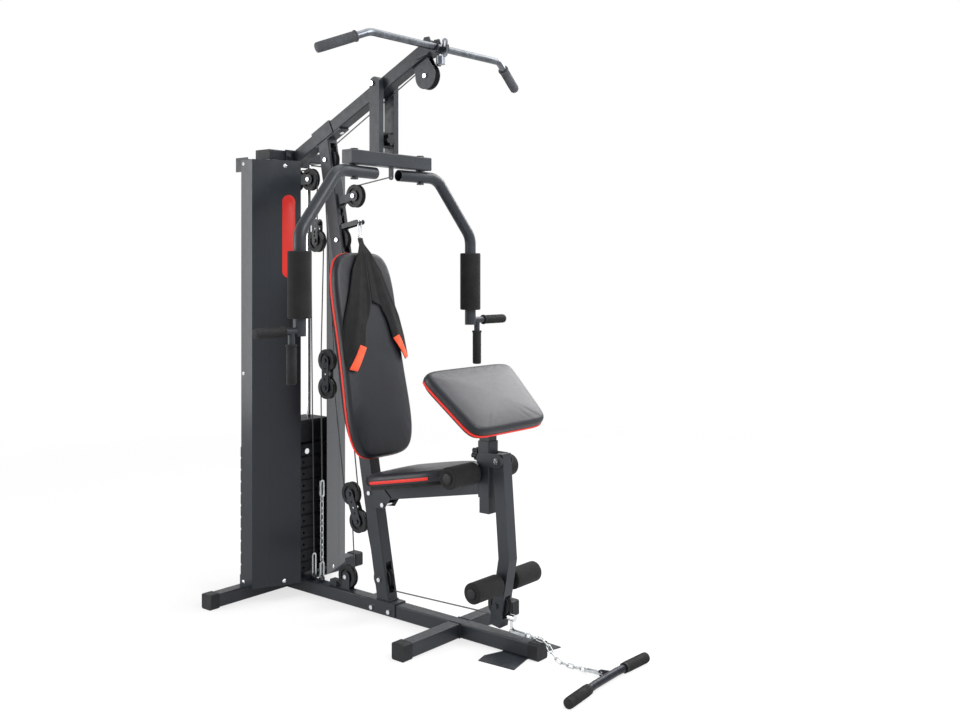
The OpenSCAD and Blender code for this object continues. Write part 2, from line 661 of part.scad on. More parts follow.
// Pulley brackets
module cheeks() { both_slabs(cheek_in, cheek_in + cheek_t) children(); }
module axle_hole(c) { translate(c) circle(bolt_d / 2 + slack); }
module pulley_brackets() {
    front = post_depth / 2;
    color("black") {
        in_post() {
            cheeks() difference() {
                union() {
                    translate([front, mid_s - 15]) square([mid_u - front, 30]);
                    translate([mid_u, mid_s]) circle(cheek_r);
                }
                axle_hole([mid_u, mid_s]);
            }
            translate([front, -cheek_in - cheek_t, mid_s - 28]) cube([plate_t, 2 * cheek_in + 2 * cheek_t, 56]);
            both_slabs(15, 15 + cheek_t) {
                translate([front, strap_eye_s - 9]) square([strap_eye_u - front, 18]);
                translate([strap_eye_u, strap_eye_s]) circle(9);
            }
            at([strap_eye_u, strap_eye_s]) along_y(strap_eye_r, -15, 15);
        }
        cheeks() difference() {
            union() {
                translate([base_pulley_c[0] - 20, beam_top]) square([40, base_pulley_c[1] - beam_top]);
                translate(base_pulley_c) circle(cheek_r);
            }
            axle_hole(base_pulley_c);
        }
        translate([base_pulley_c[0] - 30, -side_w, beam_top]) cube([60, 2 * side_w, cheek_t]);
        cheeks() difference() {
            union() {
                translate([crown_rear_c[0] - 20, crown_rear_c[1]]) square([crossbar_front - crown_rear_c[0] + 19.5, crossbar_z - crown_rear_c[1]]);
                polygon(stadium(crown_rear_c, crown_front_c, cheek_r));
            }
            axle_hole(crown_rear_c);
            axle_hole(crown_front_c);
        }
        difference() {
            cheeks() difference() {
                union() {
                    translate(boom_pulley_c) circle(pulley_d / 2 + 4);
                    polygon([boom_pulley_c + [-47, 8], boom_at(boom_len - 112, 0), boom_at(boom_len - 30, 0), boom_pulley_c + [47, 8]]);
                }
                axle_hole(boom_pulley_c);
            }
            in_boom() translate([0, -tube, -tube / 2]) cube([boom_len + 20, 2 * tube, 200]);
        }
    }
}
module frame_bolts() {
    side = tube / 2;
    color("silver") {
        for (x = saddle_bolts) at([x, saddle_z]) bolt(-side - plate_t, side + plate_t);
        for (c = [low_pulley_c, strap_pulley_c, top_pulley_c]) at(c) pulley_bolt(-side, side, side - wall);
        for (c = [mid_pulley_c, base_pulley_c, crown_rear_c, crown_front_c, boom_pulley_c]) at(c)
            pulley_bolt(-side_w, side_w, cheek_in);
        at(press_pivot) bolt(-hanger_in - hanger_t - slack, hanger_in + hanger_t + slack, pivot_d);
        at(lever_pivot) bolt(-side - plate_t, side + plate_t, pivot_d);
        for (c = gusset_bolts) at(c) bolt(-side - plate_t, side + plate_t);
        for (s = [-1, 1]) translate([boom_x, s * 49, crossbar_z + 22]) rotate([0, 90, 0]) cylinder(d = 18, h = 7, $fn = 6);
        for (x = [208, 304]) in_boom() translate([boom_s(x), 0, -side - flange_t - 7]) cylinder(d = 18, h = 7, $fn = 6);
    }
}

// Seat, backrest and knee rollers
module in_seat() { at(rail_at(seat_x, tube / 2 + 0.1)) rotate([0, -seat_rise, 0]) children(); }
module in_back() { in_post() translate([post_depth / 2 + back_gap, 0, back_s]) rotate([0, 90, 0]) children(); }
module in_desk() { at(desk_c) rotate([0, desk_slope, 0]) children(); }
seat_shape = pad_outline(seat_len, seat_w, seat_w - 30, 4.2);
back_shape = pad_outline(back_len, back_w - 14, back_w + 6, 4.6, 6);
desk_shape = pad_outline(desk_len, desk_w, desk_low_w, 5);
module seat_frame() {
    side = tube / 2;
    knee_out = roller_in + roller_len;
    color("dimgray") {
        difference() {
            translate([rail_x, 0, rail_z]) rotate([0, -seat_rise, 0]) translate([-30, 0, 0]) tube_x(560, tube, tube);
            in_post() translate([-post_depth / 2, -tube, 0]) cube([post_depth, 2 * tube, 900]);
            translate([socket_rear + wall / 2, -tube, 300]) cube([200, 2 * tube, 400]);
        }
        difference() {
            union() {
                translate([socket_x, 0, socket_low]) linear_extrude(socket_top - socket_low) tube_profile(tube, tube + 1.2);
                translate([socket_x, 0, socket_top - 45]) linear_extrude(45) round_rect(tube - 1, tube - 1, tube_r);
                both_slabs(side, side + plate_t) difference() {
                    polygon(stadium([socket_x - 5, lever_pivot[1]], lever_pivot, 24));
                    translate(lever_pivot) circle(pivot_d / 2 + slack);
                }
                at(knee_c) along_y(bar_d / 2, -knee_out, knee_out);
                for (s = [0, 1]) mirror([0, s, 0]) at(knee_c) along_y(bar_d / 2 + 5, knee_out, knee_out + 4);
                translate([0, 0, clamp_z]) along_x(11, socket_rear - 8, socket_rear + cut);
            }
            translate([socket_x - desk_post / 2 - fit, -desk_post / 2 - fit, socket_low - cut])
                cube([desk_post + 2 * fit, desk_post + 2 * fit, socket_top - socket_low + 2 * cut]);
            translate([0, 0, clamp_z]) along_x(bolt_d / 2 + fit, socket_rear - 20, socket_x);
        }
    }
}
module pad_boards() {
    color("black") {
        in_seat() linear_extrude(board_t) polygon(0.93 * seat_shape);
        in_back() linear_extrude(board_t) polygon(0.93 * back_shape);
    }
}
module seat_pad() { color("black") in_seat() translate([0, 0, board_t]) cushion(seat_shape, pad_t, pad_crown); }
module backrest_pad() { color("black") in_back() translate([0, 0, board_t]) cushion(back_shape, pad_t, pad_crown); }
module foam_pair(c, d, inner, hole) {
    for (s = [0, 1]) mirror([0, s, 0]) at(c) difference() {
        along_y(d / 2, inner, inner + roller_len);
        hole_y(hole / 2 + fit, inner, inner + roller_len);
    }
}
module knee_rollers() { color("black") foam_pair(knee_c, roller_d, roller_in, bar_d); }
module ab_strap() {
    u = post_depth / 2 + back_gap + board_t + pad_t + pad_crown + 0.4;
    neck_top = post_at(strap_eye_s, strap_eye_u) + [0, strap_eye_r + slack + hook_t - hook_len - 0.6];
    half = [[-24, 14], [10, 24], [175, 100], [290, 142], [430, 157], [442, 92], [360, 48]];
    color("black") {
        in_post() translate([u, 0, 1302]) rotate([0, 90, 0]) linear_extrude(5)
            polygon(concat(half, [[185, 0]], flip([for (p = half) [p[0], -p[1]]])));
        slab(-12, 12) polygon(ribbon([post_at(1318, u + 2.5), neck_top], 2.4));
        at(post_at(strap_eye_s, strap_eye_u) + [0, strap_eye_r + slack + hook_t - hook_len / 2]) upright(true)
            snap_hook(hook_len, hook_t);
    }
}

// Anchor chain and cables
// Hooks and links that stand upright, across the machine or along it
module upright(along) { rotate([0, 0, along ? 90 : 0]) rotate([0, -90, 0]) children(); }
module anchor_chain() {
    color("silver") {
        translate([anchor_x, 0, eye_z - hook_t / 2 + hook_len / 2]) upright(false) snap_hook(hook_len, hook_t);
        translate([anchor_x, 0, chain_top_z - hook_len / 2]) upright(false) snap_hook(hook_len, hook_t);
        translate([anchor2_x, 0, anchor2_top_z - long_hook_len / 2]) upright(false) snap_hook(long_hook_len, hook_t);
        for (i = [0 : link_count - 1]) translate([anchor_x, 0, link_z + i * link_pitch]) upright(i % 2 == 0) link();
    }
}
module stack_cable() {
    color("black") cable([[[stack_x, stem_top + 0.5], 0, 1], [crown_rear_c, run_r, -1], [crown_front_c, run_r, -1], [hung_eye, 0, 1]]);
}
module upper_cable() {
    color("black") cable([[[anchor2_x, anchor2_top_z + 0.5], 0, 1], [hung_c, run_r, -1], [twin_up_c, run_r, 1],
        [top_pulley_c, run_r, -1], [boom_pulley_c, run_r, -1], [lat_stop_c, 0, 1]]);
}
module press_cable() {
    color("black") cable([[[lug_x - 10.5, lug_z], 0, 1], [mid_pulley_c, run_r, 1], [strap_pulley_c, run_r, 1],
        [rear_up_c, run_r, -1], [twin_low_c, run_r, 1], [[anchor_x, chain_top_z + 0.5], 0, 1]]);
}
module low_cable() {
    color("black") cable([[row_stop_c - [0.8, 0], 0, 1], [leg_pulley_c, run_r, -1], [low_pulley_c, run_r, -1],
        [rear_low_c, run_r, 1], [base_pulley_c, run_r, -1], [[clamp_x + 18.5, base_pulley_c[1] - run_r], 0, 1]]);
}

// Pulleys and their floating blocks
module pulley(c) {
    w = pulley_w / 2;
    web = w - 5;
    inner = groove_r - 5;
    outer = pulley_d / 2;
    color("black") at(c) rotate([90, 0, 0]) rotate_extrude() polygon([[bolt_d / 2 + fit, -w], [hub_r, -w], [hub_r, -web],
        [inner, -web], [inner, -w], [outer, -w], [outer, 1.6 - w], [groove_r, -cable_d / 2], [groove_r, cable_d / 2],
        [outer, w - 1.6], [outer, w], [inner, w], [inner, web], [hub_r, web], [hub_r, w], [bolt_d / 2 + fit, w]]);
}
module boom_pulley() { pulley(boom_pulley_c); }
module top_pulley() { pulley(top_pulley_c); }
module mid_pulley() { pulley(mid_pulley_c); }
module strap_pulley() { pulley(strap_pulley_c); }
module low_pulley() { pulley(low_pulley_c); }
module base_pulley() { pulley(base_pulley_c); }
module crown_pulley_rear() { pulley(crown_rear_c); }
module crown_pulley_front() { pulley(crown_front_c); }
module hung_pulley() { pulley(hung_c); }
module twin_pulley_upper() { pulley(twin_up_c); }
module twin_pulley_lower() { pulley(twin_low_c); }
module rear_pulley_upper() { pulley(rear_up_c); }
module rear_pulley_lower() { pulley(rear_low_c); }
module leg_pulley() { pulley(leg_pulley_c); }
// Two side plates over axles p and q, with a row of holes between them
module block(p, q, r, axles) {
    color("silver") {
        cheeks() difference() {
            polygon(stadium(p, q, r));
            for (c = axles) axle_hole(c);
            for (t = [0.3, 0.5, 0.7]) translate(p + (q - p) * t) circle(4);
        }
        for (c = axles) at(c) pulley_bolt(-side_w, side_w, cheek_in);
    }
}
module hung_block() {
    top = hung_c + [0, 70];
    block(hung_c, top, 17, [hung_c]);
    color("silver") at(top) along_y(8, -side_w, side_w);
}
module twin_block() { block(twin_up_c, twin_low_c, 19, [twin_up_c, twin_low_c]); }
module rear_block() { block(rear_up_c, rear_low_c, 19, [rear_up_c, rear_low_c]); }

// Press and butterfly station
module hanger_shape(inset) {
    w = hanger_w / 2 - inset;
    translate([hanger_x - w, press_beam_top + inset]) square([2 * w, press_pivot[1] - press_beam_top - inset]);
    translate([hanger_x, press_pivot[1]]) circle(w);
}
module press_frame() {
    pin = fly_pin_d / 2;
    color("dimgray") {
        for (s = [0, 1]) mirror([0, s, 0]) difference() {
            slab(hanger_in, hanger_in + hanger_t) hanger_shape(0);
            slab(hanger_in + wall, hanger_in + hanger_t - wall) hanger_shape(wall);
            at(press_pivot) hole_y(pivot_d / 2 + fit, hanger_in, hanger_in + hanger_t);
        }
        translate([press_x, 0, press_beam_z + press_beam / 2]) tube_y(press_beam_len - 6, press_beam, press_beam);
        for (s = [-1, 1]) translate([press_x, s * (press_beam_len / 2 - 1.5), press_beam_z + press_beam / 2]) rotate([90, 0, 0])
            linear_extrude(3, center = true) round_rect(press_beam, press_beam, tube_r);
        difference() {
            union() {
                translate([hanger_x + 4, -hanger_in, knob_z - 28]) cube([plate_t, 2 * hanger_in, 56]);
                translate([hanger_x - 20, -hanger_in, knob_z - 28]) cube([40, 2 * hanger_in, plate_t]);
            }
            translate([0, 0, knob_z]) along_x(bolt_d / 2 + fit, hanger_x, hanger_x + 20);
        }
        slab(-3, 3) difference() {
            union() {
                translate([lug_x - 10, lug_z]) square([20, press_beam_z - lug_z]);
                translate([lug_x, lug_z]) circle(10);
            }
            translate([lug_x, lug_z]) circle(4);
        }
        for (s = [-1, 1]) translate([press_x, s * fly_gap / 2, 0]) {
            translate([0, 0, arm_z - arm_d / 2 - 7]) cylinder(r = pin, h = press_beam_top + 13 - arm_z + arm_d / 2);
            translate([0, 0, arm_z - arm_d / 2 - 7]) cylinder(r = pin + 6, h = 6);
            translate([0, 0, press_beam_z - 3]) cylinder(r = pin + 10, h = 3);
            translate([0, 0, press_beam_top]) cylinder(r = pin + 6, h = 6);
        }
    }
}
module star_knob(h) {
    linear_extrude(h) {
        circle(17);
        for (i = [0 : 4]) rotate(72 * i) translate([15, 0]) circle(8);
    }
}
module press_knob() {
    color("black") translate([0, 0, knob_z]) {
        along_x(bolt_d / 2, hanger_x - 8, hanger_x + 26);
        translate([hanger_x + 14, 0, 0]) rotate([0, 90, 0]) star_knob(24);
    }
}
// The left arm, seen from its pivot; the right arm mirrors it
module at_fly() { translate([press_x, fly_gap / 2, arm_z]) rotate([0, 0, -arm_toe]) children(); }
arm_line = [[-arm_inner, 0], [arm_reach - 189, 0], [arm_reach, -226], [arm_reach, -arm_drop]];
handle_z = -arm_drop + 18;
module fly_arm_left() {
    r = arm_d / 2;
    out = arm_reach + handle_len;
    low = handle_z - 172;
    color("dimgray") at_fly() {
        difference() {
            union() {
                rotate([90, 0, 90]) difference() {
                    bent_rod(arm_line, r, 80);
                    bent_rod(arm_line, r - wall, 80, -cut, 4);
                }
                translate([0, 0, 1 - r]) cylinder(d = fly_pin_d + 8, h = 2 * r - 2);
            }
            translate([0, 0, -r - cut]) cylinder(d = fly_pin_d + 2 * fit, h = 2 * r + 2 * cut);
        }
        translate([0, 0, handle_z]) along_y(bar_d / 2, arm_reach + r / 2, out);
        translate([0, arm_reach + handle_y, low]) cylinder(d = bar_d - 2, h = handle_z - low);
    }
    color("black") at_fly() rotate([90, 0, 90]) {
        grip_on([arm_reach, handle_z], [out, handle_z], 120, bar_d);
        grip_on([arm_reach + handle_y, handle_z], [arm_reach + handle_y, low], 128, bar_d - 2);
    }
}
module fly_arm_right() { mirror([0, 1, 0]) fly_arm_left(); }
module fly_pad_left() {
    color("black") at_fly() translate([0, arm_reach, arm_foam_z - arm_z]) difference() {
        cylinder(d = arm_foam_d, h = arm_foam_len);
        translate([0, 0, -cut]) cylinder(d = arm_d + 2 * fit, h = arm_foam_len + 2 * cut);
    }
}
module fly_pad_right() { mirror([0, 1, 0]) fly_pad_left(); }

// Leg station
lever_line = [lever_pivot + [-1.7, 23], lever_bend, lever_end];
module leg_lever() {
    w = lever_w / 2;
    out = roller_in + roller_len;
    end_dir = unit(lever_end - lever_bend);
    color("dimgray") {
        difference() {
            union() {
                difference() {
                    slab(-w, w) polygon(ribbon(lever_line, w));
                    slab(wall - w, w - wall) polygon(ribbon([lever_line[0] + [0, -wall], lever_bend, lever_end + end_dir], w - wall));
                    slab(-pulley_w / 2 - 4, pulley_w / 2 + 4) translate(leg_pulley_c) circle(pulley_d / 2 + 5);
                }
                at(lever_pivot) along_y(pivot_d / 2 + 6, -tube / 2 + slack, tube / 2 - slack);
            }
            at(lever_pivot) hole_y(pivot_d / 2 + fit, -tube / 2, tube / 2);
            at(leg_pulley_c) hole_y(bolt_d / 2 + slack, -w, w);
        }
        slab(-w, w) polygon(ribbon([lever_end, lever_end + 4 * end_dir], w));
        at(leg_pulley_c) pulley_bolt(-w, w, w - wall);
        at(leg_roller_c) along_y(leg_rod_d / 2, -out, out);
        for (s = [0, 1]) mirror([0, s, 0]) at(leg_roller_c) along_y(leg_rod_d / 2 + 6, out, out + 4);
    }
}
module leg_rollers() { color("black") foam_pair(leg_roller_c, roller_d - 6, roller_in, leg_rod_d); }
module row_stop() {
    color("silver") {
        at(row_stop_c) along_x(row_stop_d / 2, 0, 26);
        slab(-2.5, 2.5) polygon(stadium(row_stop_c + [12, -6.5], row_stop_c + [11, -33], 5));
    }
}

// Curl desk
module curl_post() {
    half = desk_post / 2;
    color("dimgray") {
        difference() {
            translate([socket_x, 0, desk_low_z]) linear_extrude(450) difference() {
                square(desk_post, center = true);
                square(desk_post - 2 * wall, center = true);
            }
            in_desk() translate([-400, -200, -desk_plate_t]) cube([800, 400, 400]);
            for (z = [desk_low_z + 40 : 30 : clamp_z + 60]) translate([0, 0, z]) along_x(6, socket_x - half - cut, socket_x);
        }
        in_desk() translate([-90, -70, -desk_plate_t]) cube([180, 140, desk_plate_t]);
    }
}
module curl_pad() {
    color("black") in_desk() translate([0, 0, board_t]) cushion(desk_shape, pad_t, pad_crown, board_t);
}
module curl_knob() {
    color("black") translate([0, 0, clamp_z]) {
        along_x(bolt_d / 2, socket_rear - 20, socket_x - desk_post / 2 - slack);
        translate([socket_rear - 32, 0, 0]) rotate([0, 90, 0]) star_knob(22);
    }
}

// Lat bar, rowing bar and its chain
lat_line = [[-lat_straight / 2 - lat_out, norm(lat_drop)], [-lat_straight / 2, 0], [lat_straight / 2, 0],
    [lat_straight / 2 + lat_out, norm(lat_drop)]];
module in_lat() { at(lat_c) rotate([0, 180 + atan2(-lat_drop[0], -lat_drop[1]), 0]) rotate([90, 0, 90]) children(); }
module lat_bar() {
    color("silver") {
        in_lat() bent_rod(lat_line, bar_d / 2, 60);
        at(lat_c) slab(-3, 3) polygon(stadium([0, -4], [27, -12], 11));
        at(lat_c + [28, -2]) upright(true) snap_hook(hook_len - 4, hook_t);
    }
    color("black") at(lat_stop_c + [0, stop_lift]) cylinder(d = stop_d + 6, h = lat_c[1] + 4 - hook_len / 2 - lat_stop_c[1] - stop_lift);
    color("black") in_lat() {
        grip_on(lat_line[1], lat_line[0], grip_len, bar_d);
        grip_on(lat_line[2], lat_line[3], grip_len, bar_d);
    }
}
module row_bar() {
    color("silver") translate([0, 0, row_z]) {
        bent_rod(row_pts, bar_d / 2, 60);
    }
    color("silver") slab(-3, 3) difference() {
        polygon(stadium([row_eye_x, 13.5], [row_eye_x + 28, row_z], 11));
        translate([row_eye_x, 13.5]) circle(7);
    }
    color("black") translate([0, 0, row_z]) {
        grip_on(row_pts[1], row_pts[0], grip_len - 25, bar_d);
        grip_on(row_pts[2], row_pts[3], grip_len - 25, bar_d);
    }
}
// The chain lies over the end of the beam and on the floor, as points of [x, z]
chain_line = [[1208.7, 67.4], [1240, 66.8], [1272, 66.3], [1293, 60], [1308, 42], [1322, 23], [1341, 12], [1365, 7.6], [1405, 7.8],
    [1424, 9.2], [1470, 10.4]];
function seg_len(p, i) = norm(p[i + 1] - p[i]);
function on_line(p, s, i = 0) = s <= seg_len(p, i) || i == len(p) - 2
    ? p[i] + s * unit(p[i + 1] - p[i]) : on_line(p, s - seg_len(p, i), i + 1);
row_links = 11;
module row_chain() {
    color("silver") {
        for (i = [0 : row_links - 1]) {
            a = on_line(chain_line, i * link_pitch);
            b = on_line(chain_line, (i + 1) * link_pitch);
            at((a + b) / 2) rotate([0, -atan2(b[1] - a[1], b[0] - a[0]), 0]) rotate([i == 0 || i == row_links - 1 ? 90 : 45 + 90 * (i % 2), 0, 0]) link();
        }
        at([1177.7, beam_top + 14.6]) rotate([0, 2.5, 0]) snap_hook(hook_len, hook_t);
        at([row_eye_x - hook_len / 2 + hook_t / 2 + 2.9, 12]) rotate([0, -3, 0]) snap_hook(hook_len, hook_t);
    }
}

// Everything is drawn about the machine's own origin
module placed() { translate([-origin_x, 0, 0]) children(); }
placed() main_beam();
placed() stabilizers();
placed() end_caps();
placed() main_post();
placed() boom();
placed() top_crossbar();
placed() guide_rods();
placed() resting_plates();
placed() lifted_weights();
placed() selector_stem();
placed() selector_pin();
placed() shroud_right();
placed() shroud_left();
placed() frame_brackets();
placed() pulley_brackets();
placed() frame_bolts();
placed() seat_frame();
placed() pad_boards();
placed() seat_pad();
placed() backrest_pad();
placed() knee_rollers();
placed() ab_strap();
placed() anchor_chain();
placed() stack_cable();
placed() upper_cable();
placed() press_cable();
placed() low_cable();
placed() boom_pulley();
placed() top_pulley();
placed() mid_pulley();
placed() strap_pulley();
placed() low_pulley();
placed() base_pulley();
placed() crown_pulley_rear();
placed() crown_pulley_front();
placed() hung_block();
placed() hung_pulley();
placed() twin_block();
placed() twin_pulley_upper();
placed() twin_pulley_lower();
placed() rear_block();
placed() rear_pulley_upper();
placed() rear_pulley_lower();
placed() press_frame();
placed() press_knob();
placed() fly_arm_right();
placed() fly_arm_left();
placed() fly_pad_right();
placed() fly_pad_left();
placed() leg_lever();
placed() leg_pulley();
placed() leg_rollers();
placed() curl_post();
placed() curl_pad();
placed() curl_knob();
placed() lat_bar();
placed() row_bar();
placed() row_chain();
placed() row_stop();
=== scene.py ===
"""Looks of a multi station home gym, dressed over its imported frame.

Sizes are written as on the maker's drawing, in millimetres from the machine's own zero point, and place() turns them
into the row frame in metres.
"""

import logging
import math
from collections.abc import Sequence
from dataclasses import dataclass, field
from enum import Enum

import bmesh
import bpy
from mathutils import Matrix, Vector


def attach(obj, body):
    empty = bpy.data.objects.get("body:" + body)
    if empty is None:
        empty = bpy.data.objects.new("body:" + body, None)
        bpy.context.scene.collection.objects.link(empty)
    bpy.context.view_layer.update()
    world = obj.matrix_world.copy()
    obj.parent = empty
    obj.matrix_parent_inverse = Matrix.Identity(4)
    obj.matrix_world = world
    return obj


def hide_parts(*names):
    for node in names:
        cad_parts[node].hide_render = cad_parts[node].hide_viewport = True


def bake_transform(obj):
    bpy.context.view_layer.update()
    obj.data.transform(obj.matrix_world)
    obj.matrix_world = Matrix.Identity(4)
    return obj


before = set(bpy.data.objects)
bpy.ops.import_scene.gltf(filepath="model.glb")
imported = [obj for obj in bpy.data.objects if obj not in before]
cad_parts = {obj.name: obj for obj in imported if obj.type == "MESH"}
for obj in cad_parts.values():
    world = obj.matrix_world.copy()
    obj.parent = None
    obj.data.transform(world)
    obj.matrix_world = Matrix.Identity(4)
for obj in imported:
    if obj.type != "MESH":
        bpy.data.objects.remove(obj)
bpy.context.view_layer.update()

log = logging.getLogger("home_gym")

Colour = tuple[float, float, float, float]
Pair = tuple[float, float]
Loft = tuple[list[Vector], list[tuple[int, ...]], list[list[Pair]]]
Node = bpy.types.Node
Socket = bpy.types.NodeSocket
Material = bpy.types.Material
Piece = bpy.types.Object

FRAME = "frame"
UP = Vector((0, 0, 1))
LEFTWARD = Vector((0, 1, 0))

# Drawing x of the row frame's zero, the leaning post's foot and unit slope, and the thickness of the cushions' boards
ZERO_X = 753.25
POST_FOOT = (566.0, 57.5)
POST_SLOPE = (0.18738, 0.98229)
BOARD = 12.0


class Slot(Enum):
    """Material slots of the record."""

    FRAME_PAINT = "frame_paint"
    SHROUD_PAINT = "shroud_paint"
    BRIGHT_STEEL = "bright_steel"
    ZINC_STEEL = "zinc_steel"
    BLACK_PLASTIC = "black_plastic"
    WEIGHT_PLASTIC = "weight_plastic"
    FOAM = "foam"
    VINYL = "vinyl"
    WEBBING = "webbing"
    CABLE_COAT = "cable_coat"
    RED_PLASTIC = "red_plastic"


class Side(Enum):
    """Sides of the machine, as seen by the user on the seat."""

    RIGHT = -1
    LEFT = 1


def place(x: float, y: float, z: float) -> Vector:
    """Puts a point of the drawing into the row frame, in metres."""
    return Vector(((x - ZERO_X) / 1000, y / 1000, z / 1000))


def placed(point: Vector) -> Vector:
    """Puts a drawing vector into the row frame, in metres."""
    return place(point.x, point.y, point.z)


def between(a: Pair, b: Pair, t: float) -> Pair:
    """Gives the pair at a share of the way from one pair to another."""
    return (a[0] + (b[0] - a[0]) * t, a[1] + (b[1] - a[1]) * t)


def ink(code: str) -> Colour:
    """Turns a screen colour such as 30343a into scene linear values.

    Args:
        code: Six hexadecimal digits.

    Returns:
        Red, green, blue and an opaque alpha.
    """
    parts = [int(code[i : i + 2], 16) / 255 for i in (0, 2, 4)]
    linear = [c / 12.92 if c <= 0.04045 else ((c + 0.055) / 1.055) ** 2.4 for c in parts]
    return (*linear, 1.0)


def shown(name: str, data: bpy.types.ID) -> Piece:
    """Puts new data into the scene as an object."""
    obj = bpy.data.objects.new(name, data)
    bpy.context.scene.collection.objects.link(obj)
    return obj


# Finishes

# The range that most of a noise lies in, and the low shine of paint and plastic
NOISE_RANGE = (0.3, 0.7)
LOW_SHINE = 0.26


class NodeBench:
    """A node tree under construction."""

    def __init__(self, tree: bpy.types.NodeTree) -> None:
        """Takes over a tree."""
        self.tree = tree

    def add(self, kind: str, inputs: dict[str | int, object] | None = None, **settings: object) -> Node:
        """Adds one node.

        Args:
            kind: Its type.
            inputs: What its inputs get, each a socket to link or a constant.
            settings: Its properties.

        Returns:
            The node.
        """
        node = self.tree.nodes.new(kind)
        for key, value in settings.items():
            setattr(node, key, value)
        for key, value in (inputs or {}).items():
            if isinstance(value, Socket):
                self.wire(value, node.inputs[key])
            else:
                node.inputs[key].default_value = value
        return node

    def wire(self, source: Socket, target: Socket) -> None:
        """Links two sockets."""
        self.tree.links.new(source, target)

    def both(self, a: Socket, b: Socket | float, how: str = "MULTIPLY") -> Socket:
        """Joins two values by one arithmetic step."""
        return self.add("ShaderNodeMath", {0: a, 1: b}, operation=how).outputs["Value"]

    def spread(self, source: Socket, low: float, high: float, a: float, b: float) -> Socket:
        """Maps a value from low..high to a..b, held at both ends."""
        inputs = {"Value": source, "From Min": low, "From Max": high, "To Min": a, "To Max": b}
        return self.add("ShaderNodeMapRange", inputs).outputs["Result"]


class ShaderBench(NodeBench):
    """A material under construction: one principled shader and the nodes that feed it."""

    def __init__(self, name: str, dark: str, light: str) -> None:
        """Starts an empty material around a principled shader, with the two tones of its colour."""
        self.material = bpy.data.materials.new(name)
        self.material.use_nodes = True
        super().__init__(self.material.node_tree)
        self.tree.nodes.clear()
        self.tones = (ink(dark), ink(light))
        self.shader = self.add("ShaderNodeBsdfPrincipled")
        self.add("ShaderNodeOutputMaterial", {"Surface": self.shader.outputs["BSDF"]})
        self.coords = self.add("ShaderNodeTexCoord")
        self.normal: Socket | None = None

    def hold(self, **values: float) -> None:
        """Sets constants on the shader's own sockets, with spaces written as underscores."""
        for key, value in values.items():
            self.shader.inputs[key.replace("_", " ")].default_value = value

    def where(self, stretch: Sequence[float] = (1, 1, 1), source: str = "Object") -> Socket:
        """Gives coordinates on the piece, stretched along its axes.

        Args:
            stretch: Factor on each axis.
            source: Output of the texture coordinate node, Object or UV.

        Returns:
            The vector socket.
        """
        inputs = {"Vector": self.coords.outputs[source], "Scale": tuple(stretch)}
        return self.add("ShaderNodeMapping", inputs).outputs["Vector"]

    def noise(self, scale: float, detail: float = 2.0, stretch: Sequence[float] = (1, 1, 1)) -> Socket:
        """Gives smooth noise from 0 to 1 with features of about 1 / scale metres."""
        inputs = {"Vector": self.where(stretch), "Scale": scale, "Detail": detail}
        return self.add("ShaderNodeTexNoise", inputs).outputs["Fac"]

    def cells(self, scale: float, feature: str = "F1") -> Socket:
        """Gives the distance field of a cell pattern."""
        inputs = {"Vector": self.where(), "Scale": scale}
        return self.add("ShaderNodeTexVoronoi", inputs, feature=feature).outputs["Distance"]

    def wave(self, scale: float, along: str) -> Socket:
        """Gives even ribs along one axis of the piece's UV map."""
        inputs = {"Vector": self.where(source="UV"), "Scale": scale, "Distortion": 0.0}
        return self.add("ShaderNodeTexWave", inputs, wave_type="BANDS", bands_direction=along).outputs["Fac"]

    def paint(self, share: Socket) -> None:
        """Feeds the base colour with a blend of the two tones."""
        node = self.add("ShaderNodeMix", {"Factor": share}, data_type="RGBA")
        colours = [s for s in node.inputs if s.type == "RGBA"]
        colours[0].default_value, colours[1].default_value = self.tones
        result = next(s for s in node.outputs if s.type == "RGBA")
        self.wire(result, self.shader.inputs["Base Color"])

    def gloss(self, share: Socket, low: float, high: float) -> None:
        """Varies the roughness between two levels."""
        self.wire(self.spread(share, *NOISE_RANGE, low, high), self.shader.inputs["Roughness"])

    def relief(self, height: Socket, depth_mm: float, strength: float) -> None:
        """Adds a layer of surface relief to the shader's normal."""
        inputs = {"Height": height, "Distance": depth_mm / 1000, "Strength": strength}
        if self.normal is not None:
            inputs["Normal"] = self.normal
        self.normal = self.add("ShaderNodeBump", inputs).outputs["Normal"]
        self.wire(self.normal, self.shader.inputs["Normal"])


@dataclass(frozen=True)
class Finish:
    """A named material whose colour ranges between two tones."""

    name: str
    dark: str
    light: str

    def make(self) -> Material:
        """Makes the material."""
        bench = ShaderBench(self.name, self.dark, self.light)
        self.feed(bench)
        return bench.material

    def feed(self, bench: ShaderBench) -> None:
        """Feeds the shader of the new material, in each finish's own way."""
        raise NotImplementedError


@dataclass(frozen=True)
class PaintFinish(Finish):
    """Baked paint on steel: an orange-peel skin with faint handling marks."""

    rough: Pair
    peel_mm: float = 0.12
    coat: float = 0.05
    scuffs: float = 0.4

    def feed(self, bench: ShaderBench) -> None:
        """Feeds clouds, specks and scuffs to the colour and gloss, and the peel to the relief."""
        cloud = bench.noise(5.0, 3.0)
        speck = bench.noise(900.0, 1.0)
        scuff = bench.spread(bench.noise(38.0, 6.0, (1, 1, 0.35)), 0.62, 0.74, 0.0, self.scuffs)
        tone = bench.both(bench.spread(cloud, *NOISE_RANGE, 0.1, 0.6), bench.spread(speck, 0.4, 0.7, 0.0, 0.25), "ADD")
        bench.paint(bench.both(tone, bench.both(scuff, speck), "ADD"))
        bench.gloss(bench.both(bench.noise(60.0, 4.0), scuff, "ADD"), *self.rough)
        bench.relief(bench.noise(520.0), self.peel_mm, 0.55)
        bench.hold(Coat_Weight=self.coat, Coat_Roughness=0.18, Specular_IOR_Level=LOW_SHINE)


